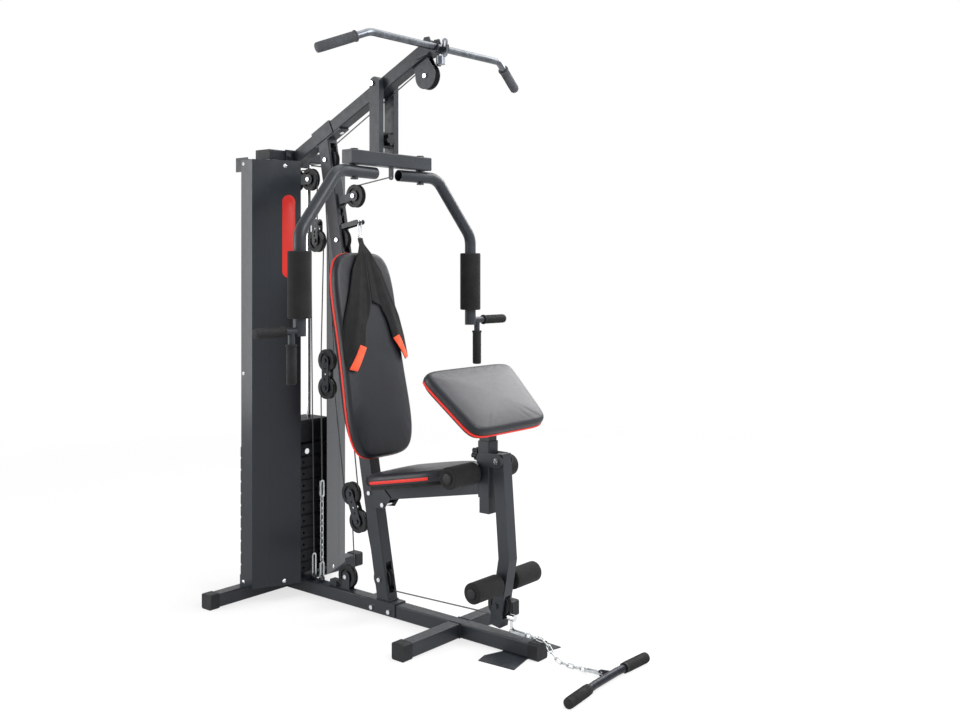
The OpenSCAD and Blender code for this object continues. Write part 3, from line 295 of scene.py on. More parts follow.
@dataclass(frozen=True)
class MetalFinish(Finish):
    """Bare plated steel, with drawing lines or a dull plated bloom."""

    rough: Pair
    grain_mm: float

    def feed(self, bench: ShaderBench) -> None:
        """Feeds a slow bloom to the colour and a fine grain to the relief."""
        bench.paint(bench.spread(bench.noise(45.0, 4.0), *NOISE_RANGE, 0.0, 1.0))
        bench.gloss(bench.noise(120.0, 5.0), *self.rough)
        bench.relief(bench.noise(700.0), self.grain_mm, 0.5)
        bench.hold(Metallic=1.0)


@dataclass(frozen=True)
class MouldedFinish(Finish):
    """Moulded plastic or rubber with a fine spark-eroded grain."""

    rough: Pair
    grain_scale: float = 1400.0
    grain_mm: float = 0.08

    def feed(self, bench: ShaderBench) -> None:
        """Feeds flow marks and grain to the colour, and the grain to the relief."""
        flow = bench.noise(14.0, 3.0)
        grain = bench.noise(self.grain_scale)
        broad, fine = bench.spread(flow, *NOISE_RANGE, 0.0, 0.7), bench.spread(grain, 0.4, 0.7, 0.0, 0.3)
        bench.paint(bench.both(broad, fine, "ADD"))
        bench.gloss(bench.noise(80.0, 4.0), *self.rough)
        bench.relief(grain, self.grain_mm, 0.6)
        bench.hold(Specular_IOR_Level=LOW_SHINE)


@dataclass(frozen=True)
class FoamFinish(Finish):
    """Closed-cell rubber foam: a dull skin with open pores."""

    pore_mm: float = 0.35

    def feed(self, bench: ShaderBench) -> None:
        """Feeds pores to the colour and, over broad dents, to the relief."""
        pores = bench.cells(620.0)
        broad = bench.spread(bench.noise(20.0, 3.0), *NOISE_RANGE, 0.0, 0.6)
        bench.paint(bench.both(broad, bench.spread(pores, 0.1, 0.7, 0.0, 0.4), "ADD"))
        bench.gloss(bench.noise(260.0, 3.0), 0.72, 0.9)
        bench.relief(pores, self.pore_mm, 0.5)
        bench.relief(bench.noise(160.0), 0.5, 0.25)
        bench.hold(Sheen_Weight=0.04, Sheen_Roughness=0.5, Specular_IOR_Level=0.14)


@dataclass(frozen=True)
class VinylFinish(Finish):
    """Upholstery vinyl with an embossed leather grain."""

    rough: Pair
    grain_scale: float = 520.0

    def feed(self, bench: ShaderBench) -> None:
        """Feeds pebbles to the colour, and creases over soft waves to the relief."""
        creases = bench.spread(bench.cells(self.grain_scale, "DISTANCE_TO_EDGE"), 0.0, 0.16, 0.0, 1.0)
        pebble = bench.noise(self.grain_scale * 0.6, 3.0)
        broad = bench.spread(bench.noise(9.0, 3.0), *NOISE_RANGE, 0.0, 0.55)
        bench.paint(bench.both(broad, bench.spread(pebble, 0.35, 0.7, 0.0, 0.45), "ADD"))
        bench.gloss(bench.noise(110.0, 3.0), *self.rough)
        bench.relief(creases, 0.12, 0.5)
        bench.relief(bench.noise(18.0), 1.2, 0.12)
        bench.hold(Specular_IOR_Level=0.3, Sheen_Weight=0.02)


@dataclass(frozen=True)
class WovenFinish(Finish):
    """Cloth or webbing: warp and weft ribs on the piece's own UV map, which is in metres."""

    warp: float = 190.0
    weft: float = 260.0

    def feed(self, bench: ShaderBench) -> None:
        """Feeds the weave to the colour and the relief."""
        weave = bench.both(bench.wave(self.warp, "X"), bench.wave(self.weft, "Y"))
        broad = bench.spread(bench.noise(30.0, 3.0), *NOISE_RANGE, 0.0, 0.4)
        bench.paint(bench.both(broad, bench.spread(weave, 0.0, 0.8, 0.0, 0.6), "ADD"))
        bench.gloss(bench.noise(200.0), 0.68, 0.88)
        bench.relief(weave, 0.35, 0.7)
        bench.hold(Sheen_Weight=0.08, Sheen_Roughness=0.45, Specular_IOR_Level=0.14)


@dataclass(frozen=True)
class CableFinish(Finish):
    """Nylon-coated wire rope, with its lay just showing through the coat."""

    def feed(self, bench: ShaderBench) -> None:
        """Feeds the rope's lay to the colour and the relief."""
        lay = bench.wave(160.0, "DIAGONAL")
        bench.paint(bench.spread(lay, 0.0, 1.0, 0.0, 1.0))
        bench.gloss(bench.noise(90.0), 0.28, 0.42)
        bench.relief(lay, 0.12, 0.4)
        bench.hold(Coat_Weight=0.3, Coat_Roughness=0.2)


class Palette:
    """All finishes of the machine, made once."""

    def __init__(self) -> None:
        """Makes every material of the machine."""
        self.paint = PaintFinish("graphite_powder_coat", "1f2227", "2e3238", (0.32, 0.46)).make()
        self.shroud = PaintFinish("shroud_enamel", "1d2127", "22272e", (0.2, 0.27), 0.0, 0.12, 0.0).make()
        self.bright = MetalFinish("chromed_steel", "c9ccd0", "e4e6e8", (0.1, 0.24), 0.01).make()
        self.bar = MetalFinish("satin_grey_steel", "55585d", "6c7076", (0.26, 0.4), 0.02).make()
        self.dark_bar = MetalFinish("dark_steel", "232429", "303238", (0.3, 0.45), 0.02).make()
        self.zinc = MetalFinish("zinc_plate", "a3a7aa", "c6c9ca", (0.28, 0.46), 0.03).make()
        self.plastic = MouldedFinish("black_moulded_plastic", "101113", "1d1f22", (0.42, 0.6)).make()
        self.weights = MouldedFinish("weight_shell", "141518", "24262a", (0.46, 0.64), 700.0, 0.16).make()
        self.rubber = MouldedFinish("grip_rubber", "131314", "202122", (0.6, 0.8), 900.0, 0.12).make()
        self.pale_rubber = MouldedFinish("grey_grip_rubber", "3c3e42", "4d4f54", (0.55, 0.75), 900.0, 0.12).make()
        self.foam = FoamFinish("roller_foam", "161617", "242425").make()
        self.vinyl = VinylFinish("black_vinyl", "121318", "1e2027", (0.34, 0.44)).make()
        self.board = MouldedFinish("board_backing", "0f0f10", "1a1a1b", (0.6, 0.8), 300.0, 0.2).make()
        self.webbing = WovenFinish("black_webbing", "101011", "222324").make()
        self.patch = WovenFinish("orange_webbing", "e2482c", "ff7250", 220.0, 220.0).make()
        self.trim = VinylFinish("red_trim_vinyl", "c41d12", "e8301f", (0.4, 0.55), 700.0).make()
        self.stripe = PaintFinish("red_stripe", "c01810", "df2a1c", (0.28, 0.4), 0.03, 0.3, 0.2).make()
        self.cable = CableFinish("coated_cable", "131415", "2b2d2f").make()


# Mesh making

# Size in metres on the UV map of an end face, and of the row that closes a skin on itself
CAP_UV = 0.001
CLOSING_UV = 0.01


def loft(rings: Sequence[Sequence[Vector]], around: bool = True, ends: bool = True, along: bool = False) -> Loft:
    """Skins a row of rings of equal count.

    Args:
        rings: Rings of points on the drawing, turning the same way.
        around: Whether each ring closes on itself.
        ends: Whether the first and last ring are closed by a face.
        along: Whether the last ring joins the first.

    Returns:
        Points, faces and UV places for each face, in metres along the skin.
    """
    n = len(rings[0])
    points = [p for ring in rings for p in ring]
    run = [0.0]
    for a, b in zip(rings, rings[1:]):
        run.append(run[-1] + (b[0] - a[0]).length / 1000)
    faces: list[tuple[int, ...]] = []
    uvs: list[list[Pair]] = []
    rows = len(rings) if along else len(rings) - 1
    for i in range(rows):
        j = (i + 1) % len(rings)
        girth = [0.0]
        for k in range(n):
            girth.append(girth[-1] + (rings[i][(k + 1) % n] - rings[i][k]).length / 1000)
        top = run[i + 1] if i + 1 < len(run) else run[i] + CLOSING_UV
        for k in range(n if around else n - 1):
            m = (k + 1) % n
            faces.append((i * n + k, i * n + m, j * n + m, j * n + k))
            uvs.append([(girth[k], run[i]), (girth[k + 1], run[i]), (girth[k + 1], top), (girth[k], top)])
    if ends and not along:
        for row, turn in ((0, -1), (len(rings) - 1, 1)):
            cap = tuple(range(row * n, row * n + n))[::turn]
            faces.append(cap)
            turns = [math.tau * q / n for q in range(n)]
            uvs.append([(CAP_UV * math.cos(t), CAP_UV * math.sin(t)) for t in turns])
    return points, faces, uvs


def unit_frame(direction: Vector, hint: Vector) -> tuple[Vector, Vector]:
    """Gives two unit vectors square to a direction, the first closest to the hint."""
    d = direction.normalized()
    a = (hint - d * hint.dot(d)).normalized()
    return a, d.cross(a)


def disc(middle: Vector, axes: tuple[Vector, Vector], radius: float, sides: int) -> list[Vector]:
    """Gives the points of a circle in the plane of two unit vectors."""
    a, b = axes
    return [middle + radius * (math.cos(t) * a + math.sin(t) * b) for t in (math.tau * k / sides for k in range(sides))]


def pipe(path: Sequence[Vector], radius: float, sides: int = 12, hint: Vector = LEFTWARD) -> Loft:
    """Sweeps a round section along an open line.

    Args:
        path: Points of the line on the drawing.
        radius: Radius of the section.
        sides: Count of points round it.
        hint: A direction that is never along the line.

    Returns:
        The skin.
    """
    rings = []
    for i, p in enumerate(path):
        d = path[min(i + 1, len(path) - 1)] - path[max(i - 1, 0)]
        rings.append(disc(p, unit_frame(d, hint), radius, sides))
    return loft(rings)


def turned(base: Vector, axis: Vector, profile: Sequence[Pair], sides: int = 40, hollow: bool = False) -> Loft:
    """Turns a profile round an axis.

    Args:
        base: Point on the axis where the profile's second value is zero.
        axis: Direction of the axis.
        profile: Pairs of radius and distance along the axis.
        sides: Count of points round the axis.
        hollow: Whether the profile is a closed loop, as for a sleeve.

    Returns:
        The skin.
    """
    d = axis.normalized()
    axes = unit_frame(d, UP if abs(d.z) < 0.9 else Vector((1, 0, 0)))
    return loft([disc(base + d * w, axes, r, sides) for r, w in profile], along=hollow)


def sleeve_profile(inner: float, outer: float, length: float, edge: float, steps: int = 5) -> list[Pair]:
    """Gives the closed section of a sleeve with rounded outer edges, as radius and distance along it."""
    corner = [
        (outer - edge + edge * math.sin(math.pi / 2 * k / steps), edge - edge * math.cos(math.pi / 2 * k / steps))
        for k in range(steps + 1)
    ]
    middle = [(outer, length * q) for q in (0.25, 0.5, 0.75)]
    far = [(r, length - w) for r, w in reversed(corner)]
    return [(inner, 0.0), *corner, *middle, *far, (inner, length), (inner, length * 0.5)]


def settle(obj: Piece) -> None:
    """Applies every modifier of an object to its mesh."""
    graph = bpy.context.evaluated_depsgraph_get()
    result = obj.evaluated_get(graph)
    mesh = bpy.data.meshes.new_from_object(result, preserve_all_data_layers=True, depsgraph=graph)
    obj.modifiers.clear()
    old, obj.data = obj.data, mesh
    bpy.data.meshes.remove(old)


# Rows of small parts, made by geometry nodes

# A washer's depth in metres, and the socket of a screw's head as shares of the head's radius and height
WASHER = 0.0024
SOCKET_WIDE, SOCKET_DEEP = 0.5, 2.04


class RowTree(NodeBench):
    """A geometry node tree with named sizes, which puts one small shape on each point of a row."""

    def __init__(self, name: str, *sizes: str) -> None:
        """Starts a tree with a geometry input, float inputs for its sizes and a material input."""
        super().__init__(bpy.data.node_groups.new(name, "GeometryNodeTree"))
        face = self.tree.interface
        face.new_socket("Geometry", in_out="INPUT", socket_type="NodeSocketGeometry")
        for size in sizes:
            face.new_socket(size, in_out="INPUT", socket_type="NodeSocketFloat")
        face.new_socket("Finish", in_out="INPUT", socket_type="NodeSocketMaterial")
        face.new_socket("Geometry", in_out="OUTPUT", socket_type="NodeSocketGeometry")
        self.given = self.add("NodeGroupInput").outputs

    def ball(self, segments: int, rings: int, wide: str, high: str) -> Socket:
        """Adds an oval ball with the named sizes as its radii."""
        radii = {"X": self.given[wide], "Y": self.given[wide], "Z": self.given[high]}
        stretch = self.add("ShaderNodeCombineXYZ", radii)
        unit = self.add("GeometryNodeMeshUVSphere", {"Segments": segments, "Rings": rings, "Radius": 1.0})
        inputs = {"Geometry": unit.outputs["Mesh"], "Scale": stretch.outputs["Vector"]}
        return self.add("GeometryNodeTransform", inputs).outputs["Geometry"]

    def put(self, shape: Socket, points: Socket, aim: Socket) -> None:
        """Puts the shape on each point, its own z along the aim, sets its finish and ends the tree."""
        turn = self.add("FunctionNodeAlignRotationToVector", {"Vector": aim}, axis="Z")
        inputs = {"Points": points, "Instance": shape, "Rotation": turn.outputs["Rotation"]}
        row = self.add("GeometryNodeInstanceOnPoints", inputs)
        real = self.add("GeometryNodeRealizeInstances", {"Geometry": row.outputs["Instances"]})
        shade = self.add("GeometryNodeSetShadeSmooth", {0: real.outputs["Geometry"]})
        finish = self.add("GeometryNodeSetMaterial", {"Geometry": shade.outputs[0], "Material": self.given["Finish"]})
        self.add("NodeGroupOutput", {"Geometry": finish.outputs["Geometry"]})

    def put_on_lines(self, shape: Socket) -> None:
        """Puts the shape at an even pitch along the lines of the input."""
        curve = self.add("GeometryNodeMeshToCurve", {"Mesh": self.given["Geometry"]})
        inputs = {"Curve": curve.outputs["Curve"], "Length": self.given["Pitch"]}
        points = self.add("GeometryNodeCurveToPoints", inputs, mode="LENGTH")
        self.put(shape, points.outputs["Points"], points.outputs["Tangent"])


class Rows:
    """Rows of repeated small parts: screws on points, and beads or ribs along lines."""

    def __init__(self) -> None:
        """Builds the trees once."""
        self.screws = self.screw_tree()
        self.beads = self.bead_tree()
        self.ribs = self.rib_tree()

    @staticmethod
    def screw_tree() -> RowTree:
        """Builds dome-headed screws with a washer and a hexagon socket, one on each point along its aim."""
        tree = RowTree("dome_screws", "Head Radius", "Head Height", "Washer Radius")
        dome = tree.ball(20, 10, "Head Radius", "Head Height")
        ring = {"Vertices": 24, "Radius": tree.given["Washer Radius"], "Depth": WASHER}
        wide = tree.both(tree.given["Head Radius"], SOCKET_WIDE)
        deep = tree.both(tree.given["Head Height"], SOCKET_DEEP)
        washer = tree.add("GeometryNodeMeshCylinder", ring)
        drive = tree.add("GeometryNodeMeshCylinder", {"Vertices": 6, "Radius": wide, "Depth": deep})
        join = tree.add("GeometryNodeJoinGeometry")
        for source in (drive.outputs["Mesh"], washer.outputs["Mesh"], dome):
            tree.wire(source, join.inputs["Geometry"])
        aim = tree.add("GeometryNodeInputNamedAttribute", {"Name": "aim"}, data_type="FLOAT_VECTOR")
        spots = tree.add("GeometryNodeMeshToPoints", {"Mesh": tree.given["Geometry"]})
        tree.put(join.outputs["Geometry"], spots.outputs["Points"], aim.outputs["Attribute"])
        return tree

    @staticmethod
    def bead_tree() -> RowTree:
        """Builds oval beads along a line, for stitches and weld seams."""
        tree = RowTree("beads_on_line", "Pitch", "Length", "Width")
        tree.put_on_lines(tree.ball(8, 5, "Width", "Length"))
        return tree

    @staticmethod
    def rib_tree() -> RowTree:
        """Builds round ribs across a line, for rubber grips."""
        tree = RowTree("ribs_on_line", "Pitch", "Radius", "Thickness")
        circles = [
            tree.add("GeometryNodeCurvePrimitiveCircle", {"Resolution": count, "Radius": tree.given[size]})
            for count, size in ((28, "Radius"), (6, "Thickness"))
        ]
        ring, section = (circle.outputs["Curve"] for circle in circles)
        rib = tree.add("GeometryNodeCurveToMesh", {"Curve": ring, "Profile Curve": section})
        tree.put_on_lines(rib.outputs["Mesh"])
        return tree

    @staticmethod
    def run(name: str, tree: RowTree, source: bpy.types.Mesh, sizes: dict[str, float], finish: Material) -> Piece:
        """Runs a tree on a mesh and keeps the result as a plain mesh.

        Args:
            name: Name of the piece.
            tree: The node tree.
            source: Points or lines in the row frame.
            sizes: Values for the tree's inputs, in millimetres.
            finish: Material of the result.

        Returns:
            The object.
        """
        obj = shown(name, source)
        modifier = obj.modifiers.new(name, "NODES")
        modifier.node_group = tree.tree
        values = {key: size / 1000 for key, size in sizes.items()} | {"Finish": finish}
        for item in tree.tree.interface.items_tree:
            if item.in_out == "INPUT" and item.name in values:
                modifier[item.identifier] = values[item.name]
        settle(obj)
        return obj

    def screw_set(self, name: str, spots: Sequence[tuple[Vector, Vector]], finish: Material, head: float) -> Piece:
        """Makes a set of screws.

        Args:
            name: Name of the piece.
            spots: Places on the drawing with the direction that each head faces.
            finish: Material.
            head: Radius of a head.

        Returns:
            The object.
        """
        mesh = bpy.data.meshes.new(name + "_points")
        mesh.from_pydata([placed(p) for p, _ in spots], [], [])
        aim = mesh.attributes.new("aim", "FLOAT_VECTOR", "POINT")
        for item, (_, direction) in zip(aim.data, spots):
            item.vector = direction.normalized()
        sizes = {"Head Radius": head, "Head Height": head * 0.62, "Washer Radius": head * 1.5}
        return self.run(name, self.screws, mesh, sizes, finish)

    def line_set(
        self, name: str, tree: RowTree, lines: Sequence[Sequence[Vector]], sizes: dict[str, float], finish: Material
    ) -> Piece:
        """Makes beads or ribs along several lines.

        Args:
            name: Name of the piece.
            tree: The bead or rib tree.
            lines: Lines on the drawing.
            sizes: Values for the tree's inputs, in millimetres.
            finish: Material.

        Returns:
            The object.
        """
        points: list[Vector] = []
        edges: list[tuple[int, int]] = []
        for line in lines:
            edges += [(len(points) + i, len(points) + i + 1) for i in range(len(line) - 1)]
            points += [placed(p) for p in line]
        mesh = bpy.data.meshes.new(name + "_lines")
        mesh.from_pydata(points, edges, [])
        return self.run(name, tree, mesh, sizes, finish)


class Workshop:
    """Turns skins into finished pieces of the scene, and keeps count of them."""

    def __init__(self) -> None:
        """Makes the finishes and the rows' trees, and starts with no piece made."""
        self.palette = Palette()
        self.rows = Rows()
        self.count = 0

    def piece(self, name: str, skin: Loft, finish: Material, sharp: float = 40) -> Piece:
        """Makes a mesh object, with its place in its mesh.

        Args:
            name: Name of the piece.
            skin: Points on the drawing, faces and UV places.
            finish: Its material.
            sharp: Angle in degrees above which an edge stays sharp.

        Returns:
            The object.
        """
        points, faces, uvs = skin
        mesh = bpy.data.meshes.new(name)
        mesh.from_pydata([placed(p) for p in points], [], faces)
        layer = mesh.uv_layers.new(name="UVMap")
        for polygon, spots in zip(mesh.polygons, uvs):
            for loop, spot in zip(polygon.loop_indices, spots):
                layer.data[loop].uv = spot
        mesh.materials.append(finish)
        self.outward(mesh)
        mesh.shade_smooth()
        mesh.set_sharp_from_angle(angle=math.radians(sharp))
        return shown(name, mesh)

    @staticmethod
    def outward(mesh: bpy.types.Mesh) -> None:
        """Turns every face of a closed mesh outwards."""
        work = bmesh.new()
        work.from_mesh(mesh)
        bmesh.ops.recalc_face_normals(work, faces=work.faces)
        work.to_mesh(mesh)
        work.free()

    def fit(self, obj: Piece, body: str, slot: Slot, note: str, *nodes: str) -> Piece:
        """Puts a piece on its body and writes it to the log.

        Args:
            obj: The piece.
            body: Body that it moves with.
            slot: Material slot of the record that it takes; not used.
            note: What it is, for the log.
            nodes: Nodes that it stands for.

        Returns:
            The piece.
        """
        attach(obj, body)
        return self.tag(obj, slot, note, *nodes)

    def tag(self, obj: Piece, slot: Slot, note: str, *nodes: str) -> Piece:
        """Hides the nodes that a piece stands for, counts the piece and writes its note to the log."""
        if nodes:
            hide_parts(*nodes)
        self.count += 1
        log.info("%s: %s", obj.name, note)
        return obj


@dataclass(frozen=True)
class Plane:
    """A flat mounting of the machine: a point on its middle plane and the slope of its own axes."""

    x: float
    z: float
    run: Pair
    rise: Pair

    def at(self, a: float, y: float, h: float) -> Vector:
        """Gives a point a along the plane, y across it and h above it."""
        return Vector((self.x + a * self.run[0] + h * self.rise[0], y, self.z + a * self.run[1] + h * self.rise[1]))


def sloped(x: float, z: float, degrees: float) -> Plane:
    """Gives a plane whose own x axis climbs by an angle."""
    c, s = math.cos(math.radians(degrees)), math.sin(math.radians(degrees))
    return Plane(x, z, (c, s), (-s, c))


def post_at(s: float, u: float = 0.0) -> Pair:
    """Gives a place s up the leaning post and u in front of its middle."""
    lean, rise = POST_SLOPE
    return (POST_FOOT[0] - lean * s + rise * u, POST_FOOT[1] + rise * s + lean * u)


SEAT_PLANE = sloped(752.44, 514.43, 10.5)
DESK_PLANE = sloped(1026, 816, -41.6)
BACK_PLANE = Plane(*post_at(908.6, 54), (POST_SLOPE[0], -POST_SLOPE[1]), POST_SLOPE[::-1])


# Points that a cushion's outline is measured with, and how far apart they end up
RIM_STEPS = 1440
RIM_PITCH = 11.0
# A cushion's rings: shares of its outline under it and over its crown, and how far its wall is drawn in on its way up
UNDERSIDE = (0.02, 0.35, 0.7, 0.9)
CROWN = (0.95, 0.88, 0.8, 0.7, 0.6, 0.5, 0.4, 0.3, 0.2, 0.1, 0.02)
CROWN_POWER = 2.2
WALL: tuple[Pair, ...] = (
    (0.0, 7.0), (0.06, 4.0), (0.14, 1.6), (0.3, 0.3), (0.5, 0.0), (0.66, 0.8), (0.8, 3.0), (0.9, 6.4), (0.97, 10.5),
    (1.0, 14.0),
)
# Frames of the cover's cloth run, and the first rings that are held fast and then loosely in it
COVER_FRAMES = 20
FAST_RINGS, LOOSE_RINGS, LOOSE_HOLD = 9, 11, 0.6
# The red band's depth into the wall, its bulge and the steps round it
BAND_ROOT, BAND_BULGE, BAND_STEPS = 1.5, 2.4, 8
# The seam's place above the band, and how far it stands proud of the wall at a share of its height
SEAM_RISE, SEAM_PROUD, SEAM_SHARE = 2.5, 0.4, 0.24


@dataclass
class Cushion:
    """A foam cushion on its board, covered with vinyl and edged with a red band."""

    name: str
    node: str
    body: str
    plane: Plane
    length: float
    near_width: float
    far_width: float
    power: float
    waist: float
    band_low: float
    band_high: float
    band_spans: tuple[Pair, ...] = ((0.0, 1.0),)
    thick: float = 42.0
    crown: float = 9.0
    swell: float = 5.0
    give: float = 0.22
    outline: list[Pair] = field(default_factory=list)

    def __post_init__(self) -> None:
        """Lays out the outline at an even pitch."""
        dense = [self.rim(math.tau * i / RIM_STEPS) for i in range(RIM_STEPS)]
        steps = [0.0]
        for a, b in zip(dense, dense[1:] + dense[:1]):
            steps.append(steps[-1] + math.dist(a, b))
        count = round(steps[-1] / RIM_PITCH)
        k = 0
        for i in range(count):
            goal = steps[-1] * i / count
            while steps[k + 1] < goal:
                k += 1
            t = (goal - steps[k]) / (steps[k + 1] - steps[k])
            self.outline.append(between(dense[k], dense[(k + 1) % len(dense)], t))

    def rim(self, a: float) -> Pair:
        """Gives the outline's point at an angle."""
        c, s = math.cos(a), math.sin(a)
        x = self.length / 2 * math.copysign(abs(c) ** (2 / self.power), c)
        t = x / self.length + 0.5
        w = self.near_width / 2 + (self.far_width - self.near_width) / 2 * t - self.waist * math.sin(math.pi * t) ** 2
        return (x, w * math.copysign(abs(s) ** (2 / self.power), s))

    def inset(self, depth: float) -> list[Pair]:
        """Gives the outline moved inwards by a depth."""
        n = len(self.outline)
        out = []
        for i, (x, y) in enumerate(self.outline):
            ax, ay = self.outline[i - 1]
            bx, by = self.outline[(i + 1) % n]
            d = math.hypot(bx - ax, by - ay) or 1.0
            out.append((x - depth * (by - ay) / d, y + depth * (bx - ax) / d))
        return out

    def wall(self, h: float) -> float:
        """Gives how far the side wall is drawn in at a height."""
        q = h / self.thick
        for (a, u), (b, v) in zip(WALL, WALL[1:]):
            if q <= b:
                return u + (v - u) * (q - a) / (b - a)
        return WALL[-1][1]

    def skin(self) -> Loft:
        """Skins the cushion from its flat underside over the wall to the crown.

        Returns:
            A closed skin.
        """
        rings: list[list[Vector]] = []
        for share in UNDERSIDE:
            rings.append([self.plane.at(x * share, y * share, BOARD) for x, y in self.inset(WALL[0][1])])
        for share, _ in WALL:
            h = share * self.thick
            rings.append([self.plane.at(x, y, BOARD + h) for x, y in self.inset(self.wall(h))])
        inner = self.inset(WALL[-1][1])
        for share in CROWN:
            lift = self.thick + self.crown * (1 - share**CROWN_POWER)
            rings.append([self.plane.at(x * share, y * share, BOARD + lift) for x, y in inner])
        return loft(rings)

    def inflate(self, obj: Piece) -> None:
        """Swells the cover with a short cloth run, its wall and underside held by the board.

        Only a share of the run's movement is kept, as the cover is stretched tight.
        """
        n = len(self.outline)
        rest = [v.co.copy() for v in obj.data.vertices]
        group = obj.vertex_groups.new(name="held")
        group.add(list(range(n * FAST_RINGS)), 1.0, "REPLACE")
        group.add(list(range(n * FAST_RINGS, n * LOOSE_RINGS)), LOOSE_HOLD, "REPLACE")
        cloth = obj.modifiers.new("Cover", "CLOTH")
        settings = cloth.settings
        settings.quality = 6
        settings.mass = 0.4
        settings.tension_stiffness = settings.compression_stiffness = 40
        settings.use_pressure = True
        settings.uniform_pressure_force = 4
        settings.effector_weights.gravity = 0
        settings.vertex_group_mass = "held"
        cloth.point_cache.frame_start, cloth.point_cache.frame_end = 1, COVER_FRAMES
        scene = bpy.context.scene
        for step in range(1, COVER_FRAMES + 1):
            scene.frame_set(step)
        settle(obj)
        scene.frame_set(1)
        cap = self.swell / 1000
        for vertex, start in zip(obj.data.vertices, rest):
            move = vertex.co - start
            if move.length > cap:
                move *= cap / move.length
            vertex.co = start + move * self.give
        obj.vertex_groups.clear()

    def band(self, span: Pair) -> Loft:
        """Skins one length of the red band round the wall.

        Args:
            span: Where it starts and ends, as shares of the way round.

        Returns:
            A closed skin.
        """
        n = len(self.outline)
        whole = span[1] - span[0] >= 1
        first, last = round(span[0] * n), round(span[1] * n)
        middle, half = (self.band_low + self.band_high) / 2, (self.band_high - self.band_low) / 2
        turns = [math.pi * k / BAND_STEPS for k in range(BAND_STEPS + 1)]
        section = [(-BAND_ROOT, -1.0), (-BAND_ROOT, 1.0)]
        section += [(BAND_BULGE * math.sin(t) ** 0.7, math.cos(t)) for t in turns]
        loops = [(self.inset(self.wall(middle + half * h) - out), BOARD + middle + half * h) for out, h in section]
        rings = [
            [self.plane.at(*loop[i % n], h) for loop, h in loops] for i in range(first, last if whole else last + 1)
        ]
        return loft(rings, along=whole)

    def build(self, shop: Workshop) -> None:
        """Makes the cushion, its red band and the seam under its crown."""
        obj = shop.piece(self.node + "_cushion", self.skin(), shop.palette.vinyl, sharp=80)
        self.inflate(obj)
        smooth = obj.modifiers.new("Round", "SUBSURF")
        smooth.levels = smooth.render_levels = 1
        shop.fit(obj, self.body, Slot.VINYL, f"{self.name} cushion", self.node)
        for k, span in enumerate(self.band_spans):
            strip = shop.piece(f"{self.node}_band_{k}", self.band(span), shop.palette.trim)
            shop.fit(strip, self.body, Slot.RED_PLASTIC, f"red band of the {self.name}")
        n = len(self.outline)
        loop = self.inset(self.wall(SEAM_SHARE * self.thick) - SEAM_PROUD)
        seam = [self.plane.at(*loop[i % n], BOARD + self.band_high + SEAM_RISE) for i in range(n + 1)]
        sizes = {"Pitch": 5.0, "Length": 1.9, "Width": 0.5}
        stitches = shop.rows.line_set(f"{self.node}_stitches", shop.rows.beads, [seam], sizes, shop.palette.webbing)
        shop.fit(stitches, self.body, Slot.VINYL, f"stitches of the {self.name}")


@dataclass
class DeskBoard:
    """The board under the curl desk's cushion."""

    cushion: Cushion
    share: float = 0.93
    ease: float = 2.5

    def build(self, shop: Workshop) -> None:
        """Makes the board with eased edges."""
        outline = [(x * self.share, y * self.share) for x, y in self.cushion.outline]
        levels = ((0.985, 0.0), (1.0, self.ease), (1.0, BOARD - self.ease), (0.985, BOARD - 0.2))
        rings = [[self.cushion.plane.at(x * q, y * q, h) for x, y in outline] for q, h in levels]
        obj = shop.piece("curl_pad_board", loft(rings), shop.palette.board)
        shop.fit(obj, self.cushion.body, Slot.BLACK_PLASTIC, "board of the curl desk", "curl_pad")


@dataclass
class Roller:
    """A foam sleeve on a bar."""

    name: str
    node: str
    body: str
    start: Vector
    axis: Vector
    length: float
    outer: float
    inner: float
    cap: float = 0.0
    edge: float = 5.0

    def build(self, shop: Workshop) -> None:
        """Makes the sleeve with rounded ends, and the cap on its bar's end plate."""
        section = sleeve_profile(self.inner, self.outer, self.length, self.edge)
        skin = turned(self.start, self.axis, section, 56, hollow=True)
        obj = shop.piece(self.name, skin, shop.palette.foam, sharp=75)
        shop.fit(obj, self.body, Slot.FOAM, "foam sleeve", self.node)
        if self.cap:
            r = self.cap
            profile = [(r, 0.2), (r, 3.6), (r - 0.5, 4.6), (r - 1.8, 5.2), (r * 0.6, 5.5), (0.6, 5.6)]
            plate = turned(self.start + self.axis * self.length, self.axis, profile)
            end = shop.piece(self.name + "_cap", plate, shop.palette.plastic)
            shop.fit(end, self.body, Slot.BLACK_PLASTIC, "cap on the end plate of a roller bar")


@dataclass
class Grip:
    """A ribbed rubber grip over the end of a bar."""

    name: str
    body: str
    end: Vector
    back: Vector
    length: float
    radius: float = 17.1
    flange: float = 2.6
    pale: bool = False
    beyond: float = 6.6
    extra: float = 7.2
    bore: float = 13.4

    def build(self, shop: Workshop) -> None:
        """Makes the grip's skin and its ribs."""
        d = (self.back - self.end).normalized()
        tip = self.end - d * self.beyond
        total = self.length + self.extra
        r = self.radius
        profile = [
            (0.6, 0.0),
            (r - 5, 0.3),
            (r - 1.6, 1.6),
            (r, 3.8),
            (r, total * 0.5),
            (r, total - 9),
            (r + self.flange, total - 6),
            (r + self.flange, total - 2),
            (r + self.flange * 0.2, total),
            (self.bore, total),
        ]
        skin = shop.palette.pale_rubber if self.pale else shop.palette.rubber
        obj = shop.piece(self.name, turned(tip, d, profile, 36), skin)
        shop.fit(obj, self.body, Slot.BLACK_PLASTIC, "rubber grip")
        line = [tip + d * 12, tip + d * (total - 14)]
        sizes = {"Pitch": 5.0, "Radius": r, "Thickness": 0.8}
        ribs = shop.rows.line_set(self.name + "_ribs", shop.rows.ribs, [line], sizes, skin)
        shop.fit(ribs, self.body, Slot.BLACK_PLASTIC, "ribs of a rubber grip")


